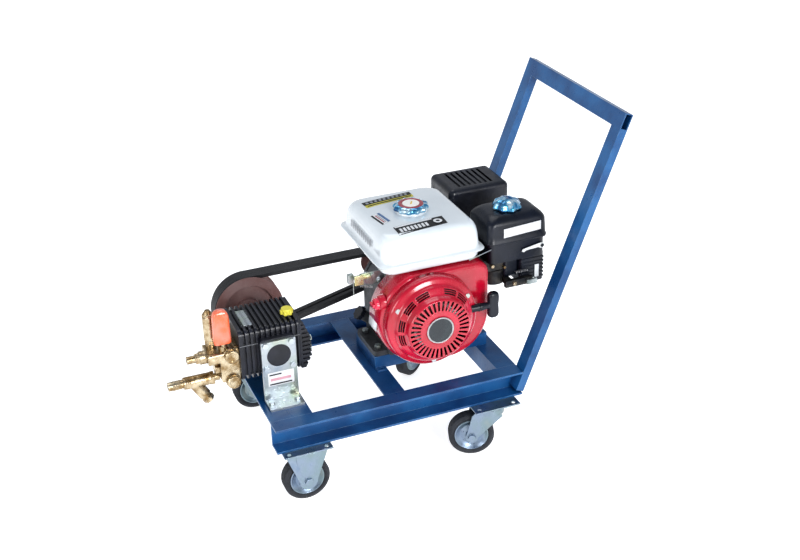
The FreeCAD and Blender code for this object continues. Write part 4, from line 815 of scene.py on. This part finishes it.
def lid_ring(inset, z, corner):
    """The air cleaner lid's outline at height z, drawn in evenly."""
    return rounded_loop((LID_X[0] + inset, LID_X[1] - inset), (LID_Y[0] + inset, LID_Y[1] - inset),
                        z, corner, 8)


def make_air_cleaner():
    """Lid with chamfered shoulders, a label strip and the lobed knob."""
    lid = Form()
    lid.loft([lid_ring(2.4, 456, 13), lid_ring(0.8, 456.4, 14), lid_ring(0.1, 458, 15),
              lid_ring(0.0, 461, 15), lid_ring(1.6, 463, 15), lid_ring(2.2, 480, 15),
              lid_ring(3.2, 497, 15), lid_ring(4.6, 502, 16), lid_ring(8, 507, 17),
              lid_ring(14, 512, 18), lid_ring(18, 514.4, 18), lid_ring(22, 515.3, 18),
              lid_ring(40, 515.9, 12)])
    piece(lid, "air_lid_shell", "chassis", "black_plastic", replaces=("air_cleaner_lid",),
          sharp=50)
    knob = Form()
    centre = (301, -73, 516.1)
    knob.lathe([(0.01, 0), (31, 0), (33, 2.4), (32.4, 6), (30, 9), (28.6, 12), (26, 16),
                (20, 19.2), (11, 20.6), (0.01, 20.9)], centre, (0, 0, 1), 144, lobes(8, 0.13, 0.7))
    piece(knob, "air_knob_body", "air_cleaner_knob", "cap_plastic", replaces=("air_cleaner_knob",),
          sharp=60)
    strip = Form()
    strip.prism([(270, -124.4, 471), (357, -124.4, 476), (357, -124.4, 496), (270, -124.4, 491)],
                (0, 1.6, 0))
    piece(strip, "air_label", "chassis", "black_plastic", bevel=0.2,
          material=label_material("pale_label", (0.72, 0.73, 0.74), (0.62, 0.63, 0.64), "X", 20.0,
                                  0.8))


def make_choke_lever():
    """Pale stamped lever: a hooked tip, a widening arm and a round eye on its pin."""
    form = Form()
    outline = [(313, 431), (318, 428.5), (324, 432), (352, 434), (357, 431.5), (363, 431),
               (367, 434.5), (367.4, 439.5), (364, 443), (357, 443.6), (322, 437.5), (315, 436)]
    form.prism([(x, -123.2, z) for x, z in outline], (0, -1.5, 0))
    piece(form, "choke_lever_plate", "choke_lever", "zinc_plate", replaces=("choke_lever",),
          bevel=0.4, material=flat_colour("pale_steel", (0.74, 0.76, 0.76), 0.3))


make_air_cleaner()
make_choke_lever()


# ------------------------------------------------------------------- shroud

SHROUD_MIDDLE = (105, 330)
SHROUD_TOP = 434


def circle_exit(direction, centre, radius):
    """How far a ray from the middle of the shroud runs before it leaves a circle."""
    offset = Vector(SHROUD_MIDDLE) - Vector(centre)
    reach = offset.dot(direction)
    return -reach + math.sqrt(reach * reach - offset.length_squared + radius * radius)


def shoulder_exit(direction, inset):
    """The same for the square shoulder with its rounded corner."""
    planes = [(Vector((-1, 0)), -84), (Vector((0, -1)), -315)]
    for step in range(7):
        angle = math.radians(15 * step)
        normal = Vector((math.cos(angle), math.sin(angle)))
        planes.append((normal, normal.dot(Vector((202, 406))) + 28 - inset))
    spans = []
    for normal, offset in planes:
        slope = normal.dot(direction)
        if slope > 1e-6:
            spans.append((offset - normal.dot(Vector(SHROUD_MIDDLE))) / slope)
    return min(spans)


def shroud_ring(inset, y, count=192):
    """The cover's outline: two circles and the shoulder joined, with a flat top."""
    ring = []
    for k in range(count):
        angle = 2 * math.pi * k / count
        direction = Vector((math.cos(angle), math.sin(angle)))
        reach = max(circle_exit(direction, ENGINE, 108 - inset),
                    circle_exit(direction, (135, 315), 95 - inset),
                    shoulder_exit(direction, inset))
        if direction.y > 1e-6:
            reach = min(reach, (SHROUD_TOP - inset - SHROUD_MIDDLE[1]) / direction.y)
        ring.append((SHROUD_MIDDLE[0] + reach * direction.x, y,
                     SHROUD_MIDDLE[1] + reach * direction.y))
    return ring


def hole_ring(radius, y, count=192):
    """The edge of the round opening, with its points in line with those of shroud_ring."""
    ring = []
    for k in range(count):
        angle = 2 * math.pi * k / count
        direction = Vector((math.cos(angle), math.sin(angle)))
        reach = circle_exit(direction, ENGINE, radius)
        ring.append((SHROUD_MIDDLE[0] + reach * direction.x, y,
                     SHROUD_MIDDLE[1] + reach * direction.y))
    return ring


def make_shroud():
    """Pressed cooling cover with a rounded front edge, its blank label and the stop knob."""
    form = Form()
    rings = [shroud_ring(0, -78), shroud_ring(0, -110), shroud_ring(0, -129)]
    for step in range(1, 7):
        angle = math.radians(15 * step)
        rings.append(shroud_ring(11 * (1 - math.cos(angle)), -129 - 11 * math.sin(angle)))
    rings.append(hole_ring(91, -140))
    rings.append(hole_ring(88, -139.4))
    form.loft(rings, low_cap=False, high_cap=False)
    piece(form, "shroud_shell", "chassis", "red_enamel", replaces=("fan_cover",), sharp=40,
          thickness=1.8)
    boss = Form()
    boss.lathe([(0.01, 0), (17, 0), (16, 8), (14.5, 12.4), (13.4, 13.6), (0.01, 13.9)],
               (-4, -123, STOP_KNOB[1]), (-1, 0, 0), 64)
    piece(boss, "switch_boss", "chassis", "red_enamel", sharp=50)
    label = Form()
    grid = []
    for row in range(9):
        angle = math.radians(186 - 2.9 * row)
        for column in range(2):
            y = -128 + 44 * column + 1.6 * (8 - row)
            grid.append((ENGINE[0] + 108.3 * math.cos(angle), y,
                         ENGINE[1] + 108.3 * math.sin(angle) - 14))
    label.add(grid, [[2 * k, 2 * k + 1, 2 * k + 3, 2 * k + 2] for k in range(8)])
    piece(label, "shroud_label", "chassis", "red_enamel", material=LABEL_WHITE, thickness=-0.4)
    knob = Form()
    knob.lathe([(0.01, 0.2), (13, 0.2), (13, 5), (12.4, 7.6), (10, 9.6), (0.01, 10)],
               (-18, *STOP_KNOB), (-1, 0, 0), 96, lobes(12, 0.05))
    piece(knob, "stop_knob_body", "stop_switch", "red_plastic", replaces=("stop_switch",))
    grip = Form()
    grip.block((-33, -27.6), (STOP_KNOB[0] - 10, STOP_KNOB[0] + 10),
               (STOP_KNOB[1] - 3, STOP_KNOB[1] + 3))
    piece(grip, "stop_knob_grip", "stop_switch", "red_plastic", bevel=1.6, segments=3)


make_shroud()


# --------------------------------------------------------------- pump details

def make_relief_lever():
    """Hollow orange lever: straight skirt, broad shoulders and a domed top."""
    x, y = RELIEF_LEVER
    form = Form()
    profile = [(328, 17.5, 10.2), (330, 18.5, 11), (345, 18.3, 11), (365, 17.6, 10.8),
               (382, 17.4, 10.6), (391, 16.6, 10.2), (397, 14.4, 9.2), (401.5, 10.6, 7.4),
               (404, 5.6, 4.8), (404.5, 1.0, 1.0)]
    rings = []
    for z, wide, deep in profile:
        rings.append(rounded_loop((x - wide, x + wide), (y - deep, y + deep), z,
                                  0.62 * min(wide, deep), 6))
    form.loft(rings)
    piece(form, "relief_lever_body", "relief_lever", "orange_plastic",
          replaces=("relief_lever",), sharp=50)


def make_plug_faces():
    """Turned faces of the gallery plugs, each with a chamfer and a shallow ring."""
    form = Form()
    for z in (302, 242):
        form.lathe([(0.01, 0), (14.2, 0), (14.6, 0.6), (14.6, 3.6), (13.2, 5), (9.5, 5.2),
                    (8.8, 4.5), (0.01, 4.3)], (-321.5, -76.5, z), (0, -1, 0), 48)
    piece(form, "gallery_plug_faces", "chassis", "brass")


def make_pump_plates():
    """Data plate on the crankcase, the joint line, and a blank label on the near bracket."""
    plate = Form()
    plate.prism([(-291, -55, 354), (-268, -57, 354), (-265, 10, 354), (-288, 12, 354)],
                (0, 0, 1))
    piece(plate, "pump_data_plate", "chassis", "zinc_plate", bevel=0.3)
    joint = Form()
    joint.block((-305, -265.2), (-80.9, -79.6), (320.6, 322.4))
    joint.block((-190.8, -176), (-80.9, -79.6), (320.6, 322.4))
    piece(joint, "crankcase_joint", "chassis", "cast_aluminium", bevel=0.3,
          material=flat_colour("joint_line", (0.16, 0.165, 0.18)))
    label = Form()
    label.block((-255, -199), (-98.5, -98), (224, 256))
    piece(label, "bracket_label", "chassis", "zinc_plate", material=LABEL_WHITE)
    stripes = Form()
    stripes.block((-252, -204), (-98.9, -98.4), (226.5, 229.5))
    stripes.block((-252, -226), (-98.9, -98.4), (249, 252))
    piece(stripes, "bracket_label_bars", "chassis", "zinc_plate", material=LABEL_BLACK)
    middle = Form()
    middle.block((-250, -206), (-98.9, -98.4), (236, 242))
    piece(middle, "bracket_label_band", "chassis", "zinc_plate",
          material=flat_colour("label_pink", (0.66, 0.36, 0.42)))


def make_small_parts():
    """Springs, screws and links round the carburettor and the throttle plate."""
    link = Form()
    link.rod((186, -131, 440), (243, -118, 447), 1.3, 12)
    link.rod((-44, -52, 408), (-44, -52, 372), 1.2, 12)
    piece(link, "governor_links", "chassis", "zinc_plate")
    springs = Form()
    for start, end in (((300, -121, 383), (330, -121, 383)), ((-36, -70, 400), (-8, -70, 392))):
        axis = Vector(end) - Vector(start)
        turn = axis.normalized().to_track_quat("Z", "Y")
        path = []
        for k in range(97):
            angle = 2 * math.pi * k / 12
            local = Vector((3.2 * math.cos(angle), 3.2 * math.sin(angle), axis.length * k / 96))
            path.append(Vector(start) + turn @ local)
        springs.pipe(path, 0.65, 6)
    piece(springs, "control_springs", "chassis", "bare_steel")
    brasses = Form()
    brasses.hexagon((255, -98, 398), (0, -1, 0), 8, 7)
    brasses.hexagon((283, -98, 391), (0, -1, 0), 6, 8)
    brasses.hexagon((296, -126, 360), (0, -1, 0), 9, 5)
    piece(brasses, "carburettor_screws", "chassis", "brass", bevel=0.3)
    screws = Form()
    screws.hexagon((345, -112, 356), (0, -1, 0), 9, 5)
    screws.hexagon((246, -44, 398), (0, -1, 0), 10, 6)
    screws.hexagon((-6, -66, 418), (0, -1, 0), 9, 5)
    screws.hexagon((8, -66, 402), (0, -1, 0), 9, 5)
    piece(screws, "control_screws", "chassis", "zinc_bolts", bevel=0.3)
    shell = Form()
    shell.block((282, 317), (-104, -48), (364, 411.5))
    piece(shell, "carburettor_shell", "chassis", "die_cast_zinc", bevel=7, segments=4,
          material=MATERIALS["black_plastic"])
    tab = Form()
    tab.block((350.5, 360.5), (-114.4, -113.4), (358, 388))
    piece(tab, "elbow_label", "chassis", "black_plastic", material=LABEL_WHITE, bevel=0.2)
    square = Form()
    square.block((-48, -28), (-73, -70), (402, 424))
    square.block((-30, -12), (-73, -66), (414, 420))
    piece(square, "control_clamp", "chassis", "zinc_plate", bevel=0.8,
          material=surface("yellow_zinc", (0.60, 0.58, 0.30), (0.70, 0.72, 0.48), 0.3, 0.8,
                           mottle=60))


make_relief_lever()
make_plug_faces()
make_pump_plates()
make_small_parts()


# ------------------------------------------------------------ floor and light

def make_stage():
    """Pale glowing floor, and a world that is bright at the horizon and dimmer overhead."""
    bpy.ops.mesh.primitive_plane_add(size=30, location=(0, 0, -0.0005))
    floor = bpy.context.object
    floor.name = "floor"
    s = Shader("pale_floor")
    shade = s.mix(s.noise(3.0), rgb(0.90, 0.90, 0.90), rgb(0.93, 0.93, 0.93))
    s.set(Base_Color=shade, Roughness=0.55, Emission_Color=rgb(1.0, 1.0, 1.0),
          Emission_Strength=0.6)
    floor.data.materials.append(s.material)
    world = bpy.data.worlds.new("studio")
    bpy.context.scene.world = world
    world.use_nodes = True
    tree = world.node_tree
    background = tree.nodes["Background"]
    coords = tree.nodes.new("ShaderNodeTexCoord")
    split = tree.nodes.new("ShaderNodeSeparateXYZ")
    ramp = tree.nodes.new("ShaderNodeValToRGB")
    tree.links.new(coords.outputs["Generated"], split.inputs[0])
    tree.links.new(split.outputs["Z"], ramp.inputs[0])
    tree.links.new(ramp.outputs[0], background.inputs["Color"])
    ramp.color_ramp.elements[0].position = 0.05
    ramp.color_ramp.elements[0].color = rgb(0.97, 0.98, 1.0)
    ramp.color_ramp.elements[1].position = 0.75
    ramp.color_ramp.elements[1].color = rgb(0.36, 0.40, 0.46)
    background.inputs["Strength"].default_value = 0.74


def area_light(name, at, target, size, power):
    light = bpy.data.lights.new(name, "AREA")
    light.energy = power
    light.size = size
    lamp = bpy.data.objects.new(name, light)
    bpy.context.collection.objects.link(lamp)
    lamp.location = at
    lamp.rotation_euler = (Vector(target) - Vector(at)).to_track_quat("-Z", "Y").to_euler()


def make_lights():
    middle = (0.05, 0, 0.35)
    area_light("key", (0.5, -3.0, 1.5), middle, 1.1, 55)
    area_light("left", (-2.6, -1.0, 1.2), middle, 1.2, 22)
    area_light("top", (0.2, 0.9, 2.8), middle, 1.6, 16)


def make_camera():
    """A long lens from the near left, looking down on the deck."""
    yaw = math.radians(21.673)
    pitch = math.radians(27.402)
    roll = math.radians(1.383)
    forward = Vector((math.sin(yaw) * math.cos(pitch), math.cos(yaw) * math.cos(pitch),
                      -math.sin(pitch)))
    right = Vector((math.cos(yaw), -math.sin(yaw), 0))
    down = forward.cross(right)
    right_rolled = right * math.cos(roll) + down * math.sin(roll)
    down_rolled = down * math.cos(roll) - right * math.sin(roll)
    camera = bpy.data.objects.new("camera", bpy.data.cameras.new("camera"))
    bpy.context.collection.objects.link(camera)
    camera.data.lens = 56.30
    camera.data.sensor_width = 36
    columns = (right_rolled, -down_rolled, -forward)
    matrix = Matrix.Identity(4)
    for column, axis in enumerate(columns):
        for row in range(3):
            matrix[row][column] = axis[row]
    matrix.translation = (-0.811, -2.247, 1.608)
    camera.matrix_world = matrix
    bpy.context.scene.camera = camera
    bpy.context.scene.view_settings.view_transform = "Standard"
    bpy.context.scene.view_settings.look = "Medium High Contrast"


make_stage()
make_lights()
make_camera()
